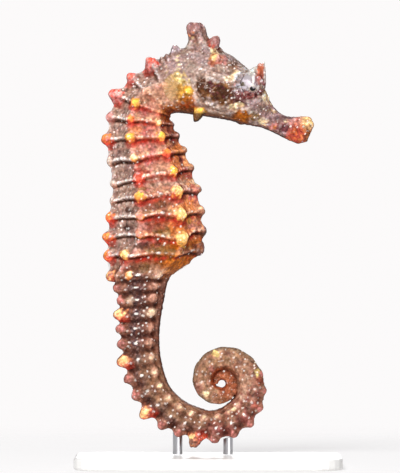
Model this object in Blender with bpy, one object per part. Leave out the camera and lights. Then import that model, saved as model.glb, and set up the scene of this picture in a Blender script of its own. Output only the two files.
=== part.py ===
"""A lined seahorse, an adult female, held over a plain display stand by two short rods.

The animal faces +X with its belly towards +X, and its right side is at -Y. The origin is
under the middle of the stand's base. Lengths here are in millimetres and angles in degrees.
"""
import math
from bisect import bisect_right

import bmesh
import bpy
from mathutils import Matrix, Vector

MM = 0.001
GAP = 0.3

# Bony rings: 1 to 11 along the trunk, 12 to 47 along the tail. Places along the head are negative.
TRUNK_RINGS = 11
LAST_RING = 47

BASE_LENGTH = 56.0
BASE_WIDTH = 30.0
BASE_THICKNESS = 2.5
BASE_CORNER = 6.0
BASE_EDGE_BEVEL = 0.5
ROD_DIAMETER = 2.0
ROD_PLACES = {"stand_rod_front": 4.2, "stand_rod_rear": -6.4}
BODY_LIFT = BASE_THICKNESS + 1.7

# Side outline: place along the body in rings, dorsal x and z, ventral x and z, half width.
# Heights are above the lowest tail knob.
OUTLINE = [
    (-6.90, 22.1, 68.2, 20.3, 64.1, 1.4),  # mouth
    (-6.60, 21.3, 69.4, 18.8, 63.8, 2.0),
    (-5.70, 17.0, 69.5, 15.3, 65.3, 1.7),  # narrowest part of the snout
    (-5.20, 14.9, 70.4, 13.4, 66.3, 1.8),
    (-4.65, 13.2, 72.4, 11.3, 67.1, 2.2),  # root of the snout
    (-4.15, 12.2, 74.8, 9.4, 67.6, 3.1),
    (-3.60, 10.5, 77.5, 7.8, 67.9, 4.1),  # eyes
    (-2.45, 6.3, 81.1, 3.6, 69.0, 5.1),
    (-1.80, 3.6, 82.8, 1.1, 69.4, 5.5),  # gill covers
    (-0.35, -4.2, 84.1, -3.6, 70.1, 5.0),  # crown
    (1.00, -12.1, 80.9, -6.4, 70.4, 4.3),  # first neck ring
    (3.00, -18.9, 73.6, -7.9, 69.5, 4.6),
    (5.00, -21.0, 64.6, -6.7, 65.4, 5.7),
    (7.00, -19.9, 55.3, -3.8, 58.6, 6.7),
    (9.00, -20.5, 48.2, -1.7, 49.6, 6.9),  # widest part of the trunk
    (11.00, -20.9, 40.2, -2.0, 41.7, 5.8),
    (12.00, -20.2, 36.0, -7.5, 37.2, 4.9),  # root of the tail
    (14.00, -18.4, 30.8, -9.1, 31.6, 4.2),
    (17.00, -18.1, 21.7, -10.2, 22.3, 3.8),
    (20.00, -15.2, 10.9, -8.5, 13.8, 3.5),
    (22.00, -9.6, 4.8, -4.9, 9.8, 3.3),
    (24.00, -2.6, 1.9, -0.4, 7.9, 3.1),  # bottom of the tail's bend
]

# The tail's coil, by angle round its centre from the +X axis: outer and inner radius, half width.
COIL_CENTRE = (2.9, 13.4)
COIL_START_ANGLE = -118.0
COIL_START_RING = 24.0
COIL_ROWS = [
    (-118.0, 12.6, 6.4, 3.1),
    (-90.0, 11.2, 5.4, 2.9),
    (0.0, 8.8, 3.3, 2.7),
    (90.0, 7.6, 2.85, 2.35),
    (180.0, 6.0, 2.25, 1.9),
    (270.0, 4.1, 1.2, 1.45),
    (360.0, 2.9, 0.9, 1.05),
    (450.0, 2.45, 0.9, 0.8),
    (540.0, 1.85, 0.9, 0.5),
]
FIRST_RING_ANGLE = 20.0
RING_ANGLE_GROWTH = 0.375

# Corners of a cross-section, from the middle of the back to the middle of the belly.
# Each is (along the depth from -1 at the belly to 1 at the back, across the half width).
TRUNK_CORNERS = [
    (0.95, 0.00), (0.98, 0.25), (1.00, 0.50), (0.72, 0.78), (0.33, 1.00),
    (-0.12, 0.92), (-0.57, 0.75), (-0.82, 0.38), (-1.00, 0.00),
]
TAIL_CORNERS = [
    (0.95, 0.00), (0.96, 0.22), (0.98, 0.44), (0.99, 0.62), (1.00, 0.80),
    (0.25, 1.00), (-0.50, 0.85), (-0.85, 0.50), (-1.00, 0.00),
]
UPPER_RIDGE = 2
SIDE_RIDGE = 4
LOWER_RIDGE = 6
KEEL = 8
CORNERS = len(TRUNK_CORNERS) - 1
RING_VALLEY = 0.93

# Nodes along the body, each from one place along it to another.
BODY_NODES = [
    ("snout", -6.9, -4.75, "snout"),
    ("head", -4.75, 0.35, "head"),
    ("neck", 0.35, 3.5, "neck"),
    ("trunk_upper", 3.5, 7.5, "trunk"),
    ("trunk_lower", 7.5, 11.5, "trunk"),
    ("tail_base", 11.5, 15.5, "tail"),
    ("tail_middle", 15.5, 19.5, "tail"),
    ("tail_bend", 19.5, 24.5, "tail"),
    ("tail_coil_front", 24.5, 29.5, "coil"),
    ("tail_coil_top", 29.5, 34.5, "coil"),
    ("tail_coil_inner", 34.5, 40.5, "coil"),
    ("tail_tip", 40.5, 47.0, "coil"),
]

EYE_CENTRE = (9.2, 76.3)
EYE_SPREAD = 2.95
EYE_RADIUS = 2.45
ORBIT_SPREAD = 2.05
ORBIT_RADIUS = 3.1

# Head spines: base and tip, with the base radius. Each has a twin on the other side.
HEAD_SPINES = [
    ((10.6, 2.9, 78.0), (11.0, 3.6, 81.2), 1.1),  # over the eye
    ((-0.9, 2.4, 72.2), (-2.0, 4.9, 68.7), 1.2),  # cheek
    ((11.3, 0.8, 73.1), (12.9, 1.0, 74.0), 0.9),  # bridge of the snout
    ((-6.4, 0.9, 82.0), (-7.3, 1.2, 84.9), 1.3),  # behind the coronet
    ((-3.6, 3.9, 76.0), (-4.3, 5.6, 76.0), 0.9),  # behind the gill cover
]
# Coronet: centre x, centre z, half length, half width of each level of its column.
CORONET_LEVELS = [
    (-1.2, 82.6, 3.9, 2.7),
    (-1.7, 85.4, 3.2, 2.4),
    (-2.2, 87.2, 1.9, 1.8),
    (-2.8, 88.6, 1.8, 2.0),
    (-2.8, 89.4, 0.9, 1.0),
]
# The knob on each side of the coronet's front: base, tip and base radius.
CORONET_KNOB = ((0.6, 0.9, 84.4), (2.2, 1.4, 86.2), 1.2)

COLOURS = {
    "snout": (0.36, 0.22, 0.24),
    "head": (0.33, 0.24, 0.20),
    "neck": (0.44, 0.29, 0.18),
    "trunk": (0.55, 0.24, 0.17),
    "tail": (0.36, 0.19, 0.15),
    "coil": (0.46, 0.29, 0.21),
    "coronet": (0.52, 0.28, 0.22),
    "eye": (0.55, 0.55, 0.52),
    "fin": (0.70, 0.60, 0.48),
    "stand": (0.80, 0.79, 0.76),
    "rod": (0.62, 0.62, 0.64),
}


def clear_scene():
    for item in list(bpy.context.scene.objects):
        bpy.data.objects.remove(item, do_unlink=True)


def material(name):
    """Return the named finish, made on first use."""
    found = bpy.data.materials.get(name)
    if found:
        return found
    made = bpy.data.materials.new(name)
    made.use_nodes = True
    shader = made.node_tree.nodes["Principled BSDF"]
    shader.inputs["Base Color"].default_value = (*COLOURS[name], 1.0)
    shader.inputs["Roughness"].default_value = 0.3 if name in ("eye", "rod") else 0.5
    shader.inputs["Metallic"].default_value = 1.0 if name == "rod" else 0.0
    return made


def smooth_row(rows, place):
    """Read a table of rows, keyed by their first value, along a smooth curve through them."""
    keys = [row[0] for row in rows]
    place = min(max(place, keys[0]), keys[-1])
    index = min(bisect_right(keys, place), len(keys) - 1) - 1
    start, end = rows[index], rows[index + 1]
    span = end[0] - start[0]
    share = (place - start[0]) / span
    before = rows[max(index - 1, 0)]
    after = rows[min(index + 2, len(rows) - 1)]
    result = []
    for column in range(1, len(start)):
        start_slope = (end[column] - before[column]) / (end[0] - before[0])
        end_slope = (after[column] - start[column]) / (after[0] - start[0])
        result.append(
            (2 * share**3 - 3 * share**2 + 1) * start[column]
            + (share**3 - 2 * share**2 + share) * span * start_slope
            + (3 * share**2 - 2 * share**3) * end[column]
            + (share**3 - share**2) * span * end_slope
        )
    return result


def coil_place(ring):
    """Dorsal point, ventral point and half width of a ring in the coil."""
    turns = ring - COIL_START_RING
    angle = COIL_START_ANGLE + FIRST_RING_ANGLE * turns + RING_ANGLE_GROWTH * turns**2
    outer, inner, half_width = smooth_row(COIL_ROWS, angle)
    radians = math.radians(angle)
    direction = Vector((math.cos(radians), 0, math.sin(radians)))
    centre = Vector((COIL_CENTRE[0], 0, COIL_CENTRE[1]))
    return centre + outer * direction, centre + inner * direction, half_width


def body_place(place):
    """Dorsal point, ventral point and half width at a place along the body."""
    if place > COIL_START_RING:
        return coil_place(place)
    back_x, back_z, belly_x, belly_z, half_width = smooth_row(OUTLINE, place)
    return Vector((back_x, 0, back_z)), Vector((belly_x, 0, belly_z)), half_width


def blend(start, end, share):
    share = min(max(share, 0.0), 1.0)
    share = share * share * (3 - 2 * share)
    return start + (end - start) * share


def head_corner(index, place):
    """One corner of a head section: an egg, narrow above, with soft sides."""
    angle = math.pi * index / CORNERS
    depth = math.copysign(abs(math.cos(angle)) ** 0.85, math.cos(angle))
    across = math.sin(angle) ** 0.8
    top_taper = blend(0.0, 0.22, (place + 3.5) / 2)
    return depth, across * (1 - top_taper * max(depth, 0.0))


def corner(index, place):
    """One corner of the cross-section, as a share of its depth and of its half width."""
    trunk_share = (place - 0.2) / 2.2
    tail_share = (place - 10.2) / 2.8
    head_depth, head_across = head_corner(index, place)
    depth = blend(head_depth, TRUNK_CORNERS[index][0], trunk_share)
    across = blend(head_across, TRUNK_CORNERS[index][1], trunk_share)
    depth = blend(depth, TAIL_CORNERS[index][0], tail_share)
    across = blend(across, TAIL_CORNERS[index][1], tail_share)
    return depth, across


def knob_height(index, ring):
    """How far the knob on a ridge stands out where it crosses a bony ring."""
    if ring > TRUNK_RINGS:
        large = ring % 3 == 0
        fade = blend(1.0, 0.0, (ring - 24) / 6)
        heights = {SIDE_RIDGE: 2.0 if large else 1.0, LOWER_RIDGE: 0.35}
        height = heights.get(index, 0.0) * fade
        if index == UPPER_RIDGE and ring == TRUNK_RINGS + 1:
            height = 1.0
        return height
    large = ring in (1, 3, 5, 7, 10)
    heights = {
        UPPER_RIDGE: 1.5 if large else 1.1,
        SIDE_RIDGE: 1.2 if large else 0.9,
        LOWER_RIDGE: 0.8,
        KEEL: 0.9 if ring > 4 else 0.0,
    }
    return heights.get(index, 0.0)


def section(place, ring=None, shrink=1.0):
    """World points round one cross-section, with knobs where it lies on a bony ring."""
    back, belly, half_width = body_place(place)
    middle = (back + belly) / 2
    half_depth = (back - belly) / 2
    points = []
    for step in range(2 * CORNERS):
        index = min(step, 2 * CORNERS - step)
        side = -1 if step > CORNERS else 1
        depth, across = corner(index, place)
        offset = half_depth * depth + Vector((0, side * half_width * across, 0))
        offset = offset * shrink
        if ring is not None:
            offset = offset + offset.normalized() * knob_height(index, ring)
        points.append(middle + offset)
    return points


def section_normal(place):
    """Unit vector along the body, square to the cross-section there."""
    back, belly, _ = body_place(place)
    ahead_back, ahead_belly, _ = body_place(place + 0.05)
    across = (back - belly).normalized()
    normal = across.cross(Vector((0, 1, 0)))
    forward = (ahead_back + ahead_belly) - (back + belly)
    return normal if normal.dot(forward) > 0 else -normal


def body_sections(start, end):
    """Sections of one node: its two cut faces, moved apart by the gap, and what lies between."""
    sections = []
    half_gap = section_normal(start) * (GAP / 2)
    sections.append([point + half_gap for point in section(start, shrink=valley(start))])
    margin = 0.2
    for place, ring in inner_places(start, end):
        if start + margin < place < end - margin:
            sections.append(section(place, ring, shrink=1.0 if ring else valley(place)))
    half_gap = section_normal(end) * (-GAP / 2)
    if end < LAST_RING:
        sections.append([point + half_gap for point in section(end, shrink=valley(end))])
    else:
        sections.append(section(end, shrink=0.6))
    return sections


def valley(place):
    """The body is a little slimmer between its bony rings than on them."""
    return blend(1.0, RING_VALLEY, place)


def inner_places(start, end):
    """Places of the sections in a stretch: evenly on the head, three to a ring behind it."""
    places = []
    head_step = 0.35
    count = max(0, math.ceil((min(end, 0.5) - start) / head_step))
    places += [(start + step * head_step, None) for step in range(1, count)]
    for ring in range(1, LAST_RING + 1):
        places.append((ring - 0.5, None))
        places.append((ring - 0.17, ring))
        places.append((ring + 0.17, ring))
    return sorted(places, key=lambda item: item[0])


def add_object(name, mesh_data, finish):
    """Put a bmesh, made in millimetres, into the scene as a named object."""
    bmesh.ops.recalc_face_normals(mesh_data, faces=mesh_data.faces)
    bmesh.ops.scale(mesh_data, vec=(MM, MM, MM), verts=mesh_data.verts)
    mesh = bpy.data.meshes.new(name)
    mesh_data.to_mesh(mesh)
    mesh_data.free()
    mesh.shade_smooth()
    mesh.set_sharp_from_angle(angle=math.radians(50))
    mesh.materials.append(material(finish))
    made = bpy.data.objects.new(name, mesh)
    bpy.context.scene.collection.objects.link(made)
    return made


def loft(sections):
    """A closed solid through rings of points, with flat ends."""
    solid = bmesh.new()
    rings = [[solid.verts.new(point) for point in points] for points in sections]
    for lower, upper in zip(rings, rings[1:]):
        for index in range(len(lower)):
            following = (index + 1) % len(lower)
            solid.faces.new((lower[index], lower[following], upper[following], upper[index]))
    solid.faces.new(rings[0])
    solid.faces.new(list(reversed(rings[-1])))
    return solid


def lift(points):
    return [point + Vector((0, 0, BODY_LIFT)) for point in points]


def ball(centre, radius, rings=10, segments=16):
    solid = bmesh.new()
    place = Matrix.Translation(Vector(centre) + Vector((0, 0, BODY_LIFT)))
    bmesh.ops.create_uvsphere(
        solid, u_segments=segments, v_segments=rings, radius=radius, matrix=place
    )
    return solid


def spine(base, tip, radius):
    """A blunt cone from its base to its tip."""
    base = Vector(base) + Vector((0, 0, BODY_LIFT))
    tip = Vector(tip) + Vector((0, 0, BODY_LIFT))
    axis = tip - base
    solid = bmesh.new()
    turn = axis.to_track_quat("Z", "Y").to_matrix().to_4x4()
    bmesh.ops.create_cone(
        solid, cap_ends=True, segments=8, radius1=radius, radius2=radius * 0.4,
        depth=axis.length, matrix=Matrix.Translation((base + tip) / 2) @ turn,
    )
    return solid


def guide(name, mesh_data):
    """A shape that only cuts or joins: it isn't part of the object."""
    made = add_object(name, mesh_data, "head")
    made.hide_render = True
    made.display_type = "WIRE"
    return made


def combine(target, other, operation):
    """Join a guide shape to a solid, or cut the solid with it."""
    step = target.modifiers.new(other.name, "BOOLEAN")
    step.operation = operation
    step.solver = "EXACT"
    step.object = other


def coronet_sections(extra=0.0):
    """The coronet's column, five-cornered and widest at its crown."""
    segments = 15
    sections = []
    for level, (x, z, half_length, half_width) in enumerate(CORONET_LEVELS):
        points = []
        height = z - extra if level == 0 else z + extra
        for step in range(segments):
            angle = 2 * math.pi * step / segments
            lobe = 1 + 0.14 * math.cos(5 * angle)
            along = (half_length + extra) * lobe * math.cos(angle)
            across = (half_width + extra) * lobe * math.sin(angle)
            points.append(Vector((x + along, across, height)))
        sections.append(lift(points))
    return sections


def build_body():
    """Every length of the body, from the snout to the tip of the tail."""
    made = {}
    for name, start, end, finish in BODY_NODES:
        sections = [lift(points) for points in body_sections(start, end)]
        made[name] = add_object(name, loft(sections), finish)
    return made


def build_head_details(head):
    """Orbits and spines joined to the head, then the sockets of the eyes and coronet cut in it."""
    sides = ((1, "left"), (-1, "right"))
    for side, label in sides:
        orbit_centre = (EYE_CENTRE[0], side * ORBIT_SPREAD, EYE_CENTRE[1])
        orbit = ball(orbit_centre, ORBIT_RADIUS)
        combine(head, guide("orbit_" + label, orbit), "UNION")
        for number, (base, tip, radius) in enumerate(HEAD_SPINES):
            cone = spine((base[0], side * base[1], base[2]), (tip[0], side * tip[1], tip[2]), radius)
            combine(head, guide(f"spine_{number}_{label}", cone), "UNION")
    for side, label in sides:
        eye_centre = (EYE_CENTRE[0], side * EYE_SPREAD, EYE_CENTRE[1])
        socket = ball(eye_centre, EYE_RADIUS + GAP)
        combine(head, guide("socket_" + label, socket), "DIFFERENCE")
        add_object("eye_" + label, ball(eye_centre, EYE_RADIUS), "eye")
    socket = guide("coronet_socket", loft(coronet_sections(GAP)))
    combine(head, socket, "DIFFERENCE")
    coronet = add_object("coronet", loft(coronet_sections()), "coronet")
    base, tip, radius = CORONET_KNOB
    for side, label in sides:
        cone = spine((base[0], side * base[1], base[2]), (tip[0], side * tip[1], tip[2]), radius)
        combine(coronet, guide("coronet_knob_" + label, cone), "UNION")


def fin_blade(root_points, tip_points, side_offset, thickness):
    """A thin fin between its root and its edge, both given as points in order."""
    sections = []
    for offset in (-thickness / 2, thickness / 2):
        shift = side_offset * offset
        outline = [point + shift for point in root_points + list(reversed(tip_points))]
        sections.append(lift(outline))
    return loft(sections)


def build_middle_fin(name, start, end, on_back, height, rake):
    """A fin on the middle line of the back or belly, between two places along the body."""
    steps = 7
    root_points, tip_points = [], []
    for step in range(steps):
        share = step / (steps - 1)
        place = start + (end - start) * share
        back, belly, _ = body_place(place)
        middle = (back + belly) / 2
        edge_depth = TRUNK_CORNERS[0][0] if on_back else TRUNK_CORNERS[KEEL][0]
        surface = middle + (back - middle) * edge_depth
        outward = (surface - middle).normalized()
        along = section_normal(place)
        reach = height * (0.45 + 0.55 * math.sin(math.pi * share) ** 0.6)
        root = surface + outward * GAP
        root_points.append(root)
        tip_points.append(root + outward * reach + along * rake * reach)
    blade = fin_blade(root_points, tip_points, Vector((0, 1, 0)), 0.5)
    add_object(name, blade, "fin")


def build_pectoral_fins():
    """A small rounded fan behind each gill cover, lying back along the neck."""
    root_centre = Vector((-5.9, 5.6, 75.4))
    fan_radius = 3.6
    root_radius = 0.7
    steps = 7
    for side, label in ((1, "left"), (-1, "right")):
        centre = Vector((root_centre.x, side * root_centre.y, root_centre.z))
        outward = Vector((0.12, side * 1.0, 0.0)).normalized()
        back = Vector((-1.0, side * 0.12, 0.0)).normalized()
        up = Vector((0, 0, 1))
        root_points, tip_points = [], []
        for step in range(steps):
            angle = math.radians(-62 + 124 * step / (steps - 1))
            spoke = back * math.cos(angle) + up * math.sin(angle)
            root_points.append(centre + spoke * root_radius)
            tip_points.append(centre + spoke * fan_radius)
        blade = fin_blade(root_points, tip_points, outward, 0.5)
        add_object("pectoral_fin_" + label, blade, "fin")


def tail_underside(x):
    """Height of the tail's lowest line above the base's underside, at an x under the bend."""
    places = [20 + step * 0.05 for step in range(180)]
    nearest = min(places, key=lambda place: abs(body_place(place)[0].x - x))
    return body_place(nearest)[0].z + BODY_LIFT


def build_stand():
    """A flat base with rounded corners, and a rod to each end of the tail's bend."""
    plate = bmesh.new()
    outline = []
    for corner_x, corner_y, start_angle in (
        (1, 1, 0), (-1, 1, 90), (-1, -1, 180), (1, -1, 270),
    ):
        for step in range(7):
            angle = math.radians(start_angle + 15 * step)
            x = corner_x * (BASE_LENGTH / 2 - BASE_CORNER) + BASE_CORNER * math.cos(angle)
            y = corner_y * (BASE_WIDTH / 2 - BASE_CORNER) + BASE_CORNER * math.sin(angle)
            outline.append((x, y))
    face = plate.faces.new([plate.verts.new((x, y, 0)) for x, y in outline])
    raised = bmesh.ops.extrude_face_region(plate, geom=[face])
    top = [item for item in raised["geom"] if isinstance(item, bmesh.types.BMVert)]
    bmesh.ops.translate(plate, vec=(0, 0, BASE_THICKNESS), verts=top)
    base = add_object("stand_base", plate, "stand")
    bevel = base.modifiers.new("edge", "BEVEL")
    bevel.width = BASE_EDGE_BEVEL * MM
    bevel.segments = 2
    bevel.limit_method = "ANGLE"
    for name, x in ROD_PLACES.items():
        build_rod(name, x)


def build_rod(name, x):
    """A rod from the base's top face to the tail, its top cut to the tail's slope."""
    sides = 16
    radius = ROD_DIAMETER / 2
    slope = (tail_underside(x + radius) - tail_underside(x - radius)) / ROD_DIAMETER
    bottom, top = [], []
    for step in range(sides):
        angle = 2 * math.pi * step / sides
        along = radius * math.cos(angle)
        across = radius * math.sin(angle)
        bottom.append(Vector((x + along, across, BASE_THICKNESS + GAP)))
        top.append(Vector((x + along, across, tail_underside(x) + slope * along - 1.4 * GAP)))
    add_object(name, loft([bottom, top]), "rod")


def main():
    clear_scene()
    body = build_body()
    build_head_details(body["head"])
    build_middle_fin("dorsal_fin", 9.75, 12.25, True, 1.9, 0.5)
    build_middle_fin("anal_fin", 11.5, 12.0, False, 1.3, 0.6)
    build_pectoral_fins()
    build_stand()


main()
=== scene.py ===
"""Looks of the lined seahorse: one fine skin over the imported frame, eyes, fins, stand and studio.

Shapes are made in millimetres and scaled to metres when they become objects.
Heights above the lowest tail knob are lifted by BODY_LIFT, as in the frame.
"""
import math

import bpy
import numpy as np
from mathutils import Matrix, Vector
from mathutils.kdtree import KDTree


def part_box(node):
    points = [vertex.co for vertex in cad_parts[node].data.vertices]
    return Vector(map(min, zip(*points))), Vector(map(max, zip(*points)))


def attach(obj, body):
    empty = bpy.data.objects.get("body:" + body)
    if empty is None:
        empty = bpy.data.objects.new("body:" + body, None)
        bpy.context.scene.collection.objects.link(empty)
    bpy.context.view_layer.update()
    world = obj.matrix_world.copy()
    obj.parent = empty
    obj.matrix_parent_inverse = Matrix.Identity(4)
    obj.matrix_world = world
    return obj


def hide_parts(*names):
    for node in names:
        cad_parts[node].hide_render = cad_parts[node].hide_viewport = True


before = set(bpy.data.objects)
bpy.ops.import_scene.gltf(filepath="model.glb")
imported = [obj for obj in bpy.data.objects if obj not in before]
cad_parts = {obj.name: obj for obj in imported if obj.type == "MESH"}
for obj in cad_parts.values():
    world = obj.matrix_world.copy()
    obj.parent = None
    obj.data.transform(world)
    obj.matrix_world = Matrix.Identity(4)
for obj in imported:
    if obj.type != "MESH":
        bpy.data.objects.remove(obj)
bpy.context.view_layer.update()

MM = 0.001
TAIL_GAP = 1.7  # between the stand's base and the lowest tail knob
BODY_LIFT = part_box("stand_base")[1][2] / MM + TAIL_GAP
SIDES = ((1, "left"), (-1, "right"))
SEED = 7

# Side outline: place along the body in rings, dorsal x and z, ventral x and z, half width.
OUTLINE = [
    (-6.90, 22.1, 68.2, 20.3, 64.1, 1.4),  # mouth
    (-6.60, 21.3, 69.4, 18.8, 63.8, 2.0),
    (-5.70, 17.0, 69.5, 15.3, 65.3, 1.7),  # narrowest part of the snout
    (-5.20, 14.9, 70.4, 13.4, 66.3, 1.8),
    (-4.65, 13.2, 72.4, 11.3, 67.1, 2.2),  # root of the snout
    (-4.15, 12.2, 74.8, 9.4, 67.5, 3.1),
    (-3.60, 10.5, 77.5, 7.8, 67.8, 4.1),  # eyes
    (-2.45, 6.4, 81.2, 3.6, 68.8, 5.1),
    (-1.80, 3.7, 82.9, 1.1, 69.2, 5.5),  # gill covers
    (-0.35, -4.2, 84.1, -3.6, 69.9, 5.0),  # crown
    (1.00, -12.1, 80.9, -6.4, 70.2, 4.3),  # first neck ring
    (3.00, -18.9, 73.6, -7.9, 69.5, 4.6),
    (5.00, -21.0, 64.6, -6.7, 65.4, 5.7),
    (7.00, -19.9, 55.3, -3.8, 58.6, 6.7),
    (9.00, -20.5, 48.2, -1.7, 49.6, 6.9),  # widest part of the trunk
    (11.00, -20.9, 40.2, -1.7, 41.6, 5.8),
    (11.50, -20.6, 38.1, -4.2, 38.7, 5.3),
    (12.00, -20.2, 36.0, -7.4, 36.6, 4.9),  # root of the tail
    (14.00, -18.4, 30.8, -9.1, 31.6, 4.2),
    (17.00, -18.1, 21.7, -10.2, 22.3, 3.8),
    (20.00, -15.2, 10.9, -8.5, 13.8, 3.5),
    (22.00, -9.6, 4.8, -4.9, 9.8, 3.3),
    (24.00, -2.6, 1.9, -0.4, 7.9, 3.1),  # bottom of the tail's bend
]
LAST_RING = 47.0
TRUNK_RINGS = 11

# The tail's coil, by angle round its centre from the +X axis: outer and inner radius, half width.
COIL_CENTRE = (2.9, 13.4)
COIL_START_ANGLE = -118.0
COIL_START_RING = 24.0
COIL_ROWS = [
    (-118.0, 12.6, 6.3, 3.1),
    (-90.0, 11.3, 4.95, 2.9),
    (-73.0, 10.7, 4.25, 2.85),
    (0.0, 8.9, 3.1, 2.7),
    (90.0, 7.6, 2.75, 2.35),
    (180.0, 6.0, 1.5, 1.9),
    (225.0, 4.95, 0.8, 1.7),
    (270.0, 4.15, 0.75, 1.5),
    (360.0, 3.05, 0.75, 1.15),
    (450.0, 2.7, 0.75, 0.95),
    (540.0, 1.5, 0.8, 0.5),
]
FIRST_RING_ANGLE = 20.0
RING_ANGLE_GROWTH = 0.375

# Corners of a cross-section, from the middle of the back to the middle of the belly.
TRUNK_CORNERS = [
    (0.95, 0.00), (0.98, 0.25), (1.00, 0.50), (0.72, 0.78), (0.33, 1.00),
    (-0.12, 0.92), (-0.57, 0.75), (-0.82, 0.38), (-1.00, 0.00),
]
TAIL_CORNERS = [
    (0.95, 0.00), (0.96, 0.22), (0.98, 0.44), (0.99, 0.62), (1.00, 0.80),
    (0.25, 1.00), (-0.50, 0.85), (-0.85, 0.50), (-1.00, 0.00),
]
UPPER_RIDGE, SIDE_RIDGE, LOWER_RIDGE, KEEL = 2, 4, 6, 8  # corners with a ridge of knobs
CORNERS = 8
SAMPLES_PER_CORNER = 18
PLACE_STEP = 0.05
SLIMMING = 0.99  # leaves room for the relief inside the outline
BEADS_PER_CORNER = 3.5
VOXEL = 0.155  # size of the skin's facets

# Eyes: the left one's centre, and the orbit that bulges the skin round it.
EYE_CENTRE = np.array([8.9, 2.9, 76.0])
PUPIL_CENTRE = (9.3, 75.2)
EYE_RADIUS = 2.45
EYE_OPENING = 2.1
EYE_SEGMENTS = 144
ORBIT_CENTRE = np.array([9.2, 2.05, 76.3])
ORBIT_RADIUS = 2.9

# Coronet: centre x, centre z, half length, half width of each level of its column.
CORONET_LEVELS = [
    (-1.2, 81.5, 4.5, 3.0),
    (-1.2, 83.4, 4.0, 2.7),
    (-1.6, 84.7, 2.9, 2.2),
    (-2.1, 85.9, 2.1, 1.8),
    (-2.5, 87.2, 2.0, 1.8),
    (-2.75, 88.4, 1.85, 1.7),
    (-2.8, 89.2, 1.1, 1.1),
]

# Knobs by ring: height, base radius and kind. All but the keel's have a mirrored twin.
BACK_KNOBS = {
    1: (2.35, 1.9, "red"), 2: (1.3, 1.45, "red"), 3: (2.1, 1.85, "red"), 4: (1.0, 1.4, "pink"),
    5: (1.4, 1.6, "orange"), 6: (0.65, 1.3, "grey"), 7: (0.6, 1.2, "grey"),
    8: (0.45, 1.2, "grey"), 9: (1.0, 1.5, "orange"), 10: (1.4, 1.6, "orange"),
    11: (1.15, 1.5, "orange"), 12: (1.35, 1.6, "flame"),
}
SIDE_KNOBS = {
    3: (1.0, 1.3, "yellow"),
    4: (0.5, 1.1, "orange"), 5: (1.2, 1.4, "yellow"), 6: (0.6, 1.1, "pale"),
    7: (0.55, 1.4, "coal"), 8: (1.2, 1.4, "yellow"), 9: (0.7, 1.1, "flesh"),
    10: (0.8, 1.1, "flesh"), 11: (1.1, 1.4, "glow"), 12: (0.6, 1.1, "pale"),
}
LOWER_KNOBS = {
    4: (0.5, 1.0, "pale"), 5: (0.9, 1.3, "yellow"), 6: (0.8, 1.3, "orange"),
    7: (0.9, 1.4, "yellow"), 8: (1.1, 1.7, "glow"), 9: (1.1, 1.8, "glow"),
    10: (1.2, 2.1, "glow"), 11: (0.5, 1.1, "patch"), 12: (0.6, 1.4, "patch"),
}
KEEL_KNOBS = {
    4: (0.5, 1.0, "dusk"), 5: (0.85, 1.15, "dusk"), 6: (1.0, 1.15, "keel"), 7: (1.0, 1.2, "keel"),
    8: (1.25, 1.4, "keel"), 9: (1.15, 1.4, "keel"), 10: (1.1, 1.6, "dusk"), 11: (1.0, 2.0, "dusk"),
}
SIDE_KNOB_CORNER = {11: 3.5, 12: 4.6}  # where a side knob stands off its ridge
SMALL_TAIL_KNOBS = {13: 0.55, 14: 0.5}  # heights
DROOPING_RINGS = (9, 10)
KNOB_SAMPLES = (0.0, 0.35, 0.7, 1.0)  # shares of a knob's height at which it is looked for

# Single spines and swellings: base, tip, base radius, tip share, kind. Each has a mirrored twin.
HEAD_SPINES = [
    ((8.7, 2.5, 76.8), (10.3, 3.1, 79.9), 2.0, 0.35, "eye_lid"),
    ((10.2, 2.8, 77.2), (10.9, 3.6, 80.8), 1.3, 0.30, "eye_spine"),
    ((11.0, 2.8, 77.2), (11.7, 3.6, 81.0), 1.05, 0.30, "eye_spine"),
    ((-1.5, 2.5, 71.3), (-2.8, 4.7, 68.5), 1.2, 0.65, "cheek_spine"),
    ((10.8, 0.7, 72.6), (12.8, 0.8, 73.6), 1.7, 0.55, "cream"),
    ((-6.4, 0.9, 82.0), (-7.2, 1.3, 84.5), 1.6, 0.5, "crown"),
    ((0.6, 0.9, 84.0), (2.2, 1.5, 86.3), 1.45, 0.65, "coronet_knob"),
    ((1.4, 2.6, 80.9), (1.9, 4.5, 82.2), 1.3, 0.6, "crown_knob"),
    ((-3.9, 3.9, 74.6), (-4.4, 5.2, 74.7), 1.1, 0.8, "neck_knob"),
    ((-2.9, 0.9, 87.6), (-4.2, 1.3, 88.1), 1.25, 0.85, "coronet_top"),
    ((-2.6, 0.8, 88.0), (-2.1, 1.3, 88.8), 1.1, 0.85, "coronet_top"),
    ((5.6, 3.4, 71.5), (6.0, 4.6, 71.2), 0.9, 0.6, "cream"),
]

# Rounded lobes on the middle line: x, z and radius. The throat's, and two where the trunk ends.
MIDLINE_LOBES = [(7.1, 69.5, 1.7), (-2.5, 42.1, 1.75), (-5.0, 39.6, 1.4)]

# Fins on the middle line: first and last place, depth share of the root, height and rake.
MIDLINE_FINS = {
    "dorsal_fin": (9.75, 12.25, 0.93, 1.05, 0.8),
    "anal_fin": (11.5, 12.0, -0.96, 1.1, 0.6),
}
PECTORAL_CENTRE = np.array([-5.9, 5.3, 75.4])
FIN_ROWS, FIN_COLUMNS = 9, 41

FLESH = [
    "snout", "head", "coronet", "neck", "trunk_upper", "trunk_lower", "tail_base", "tail_middle",
    "tail_bend", "tail_coil_front", "tail_coil_top", "tail_coil_inner", "tail_tip",
]

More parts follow.
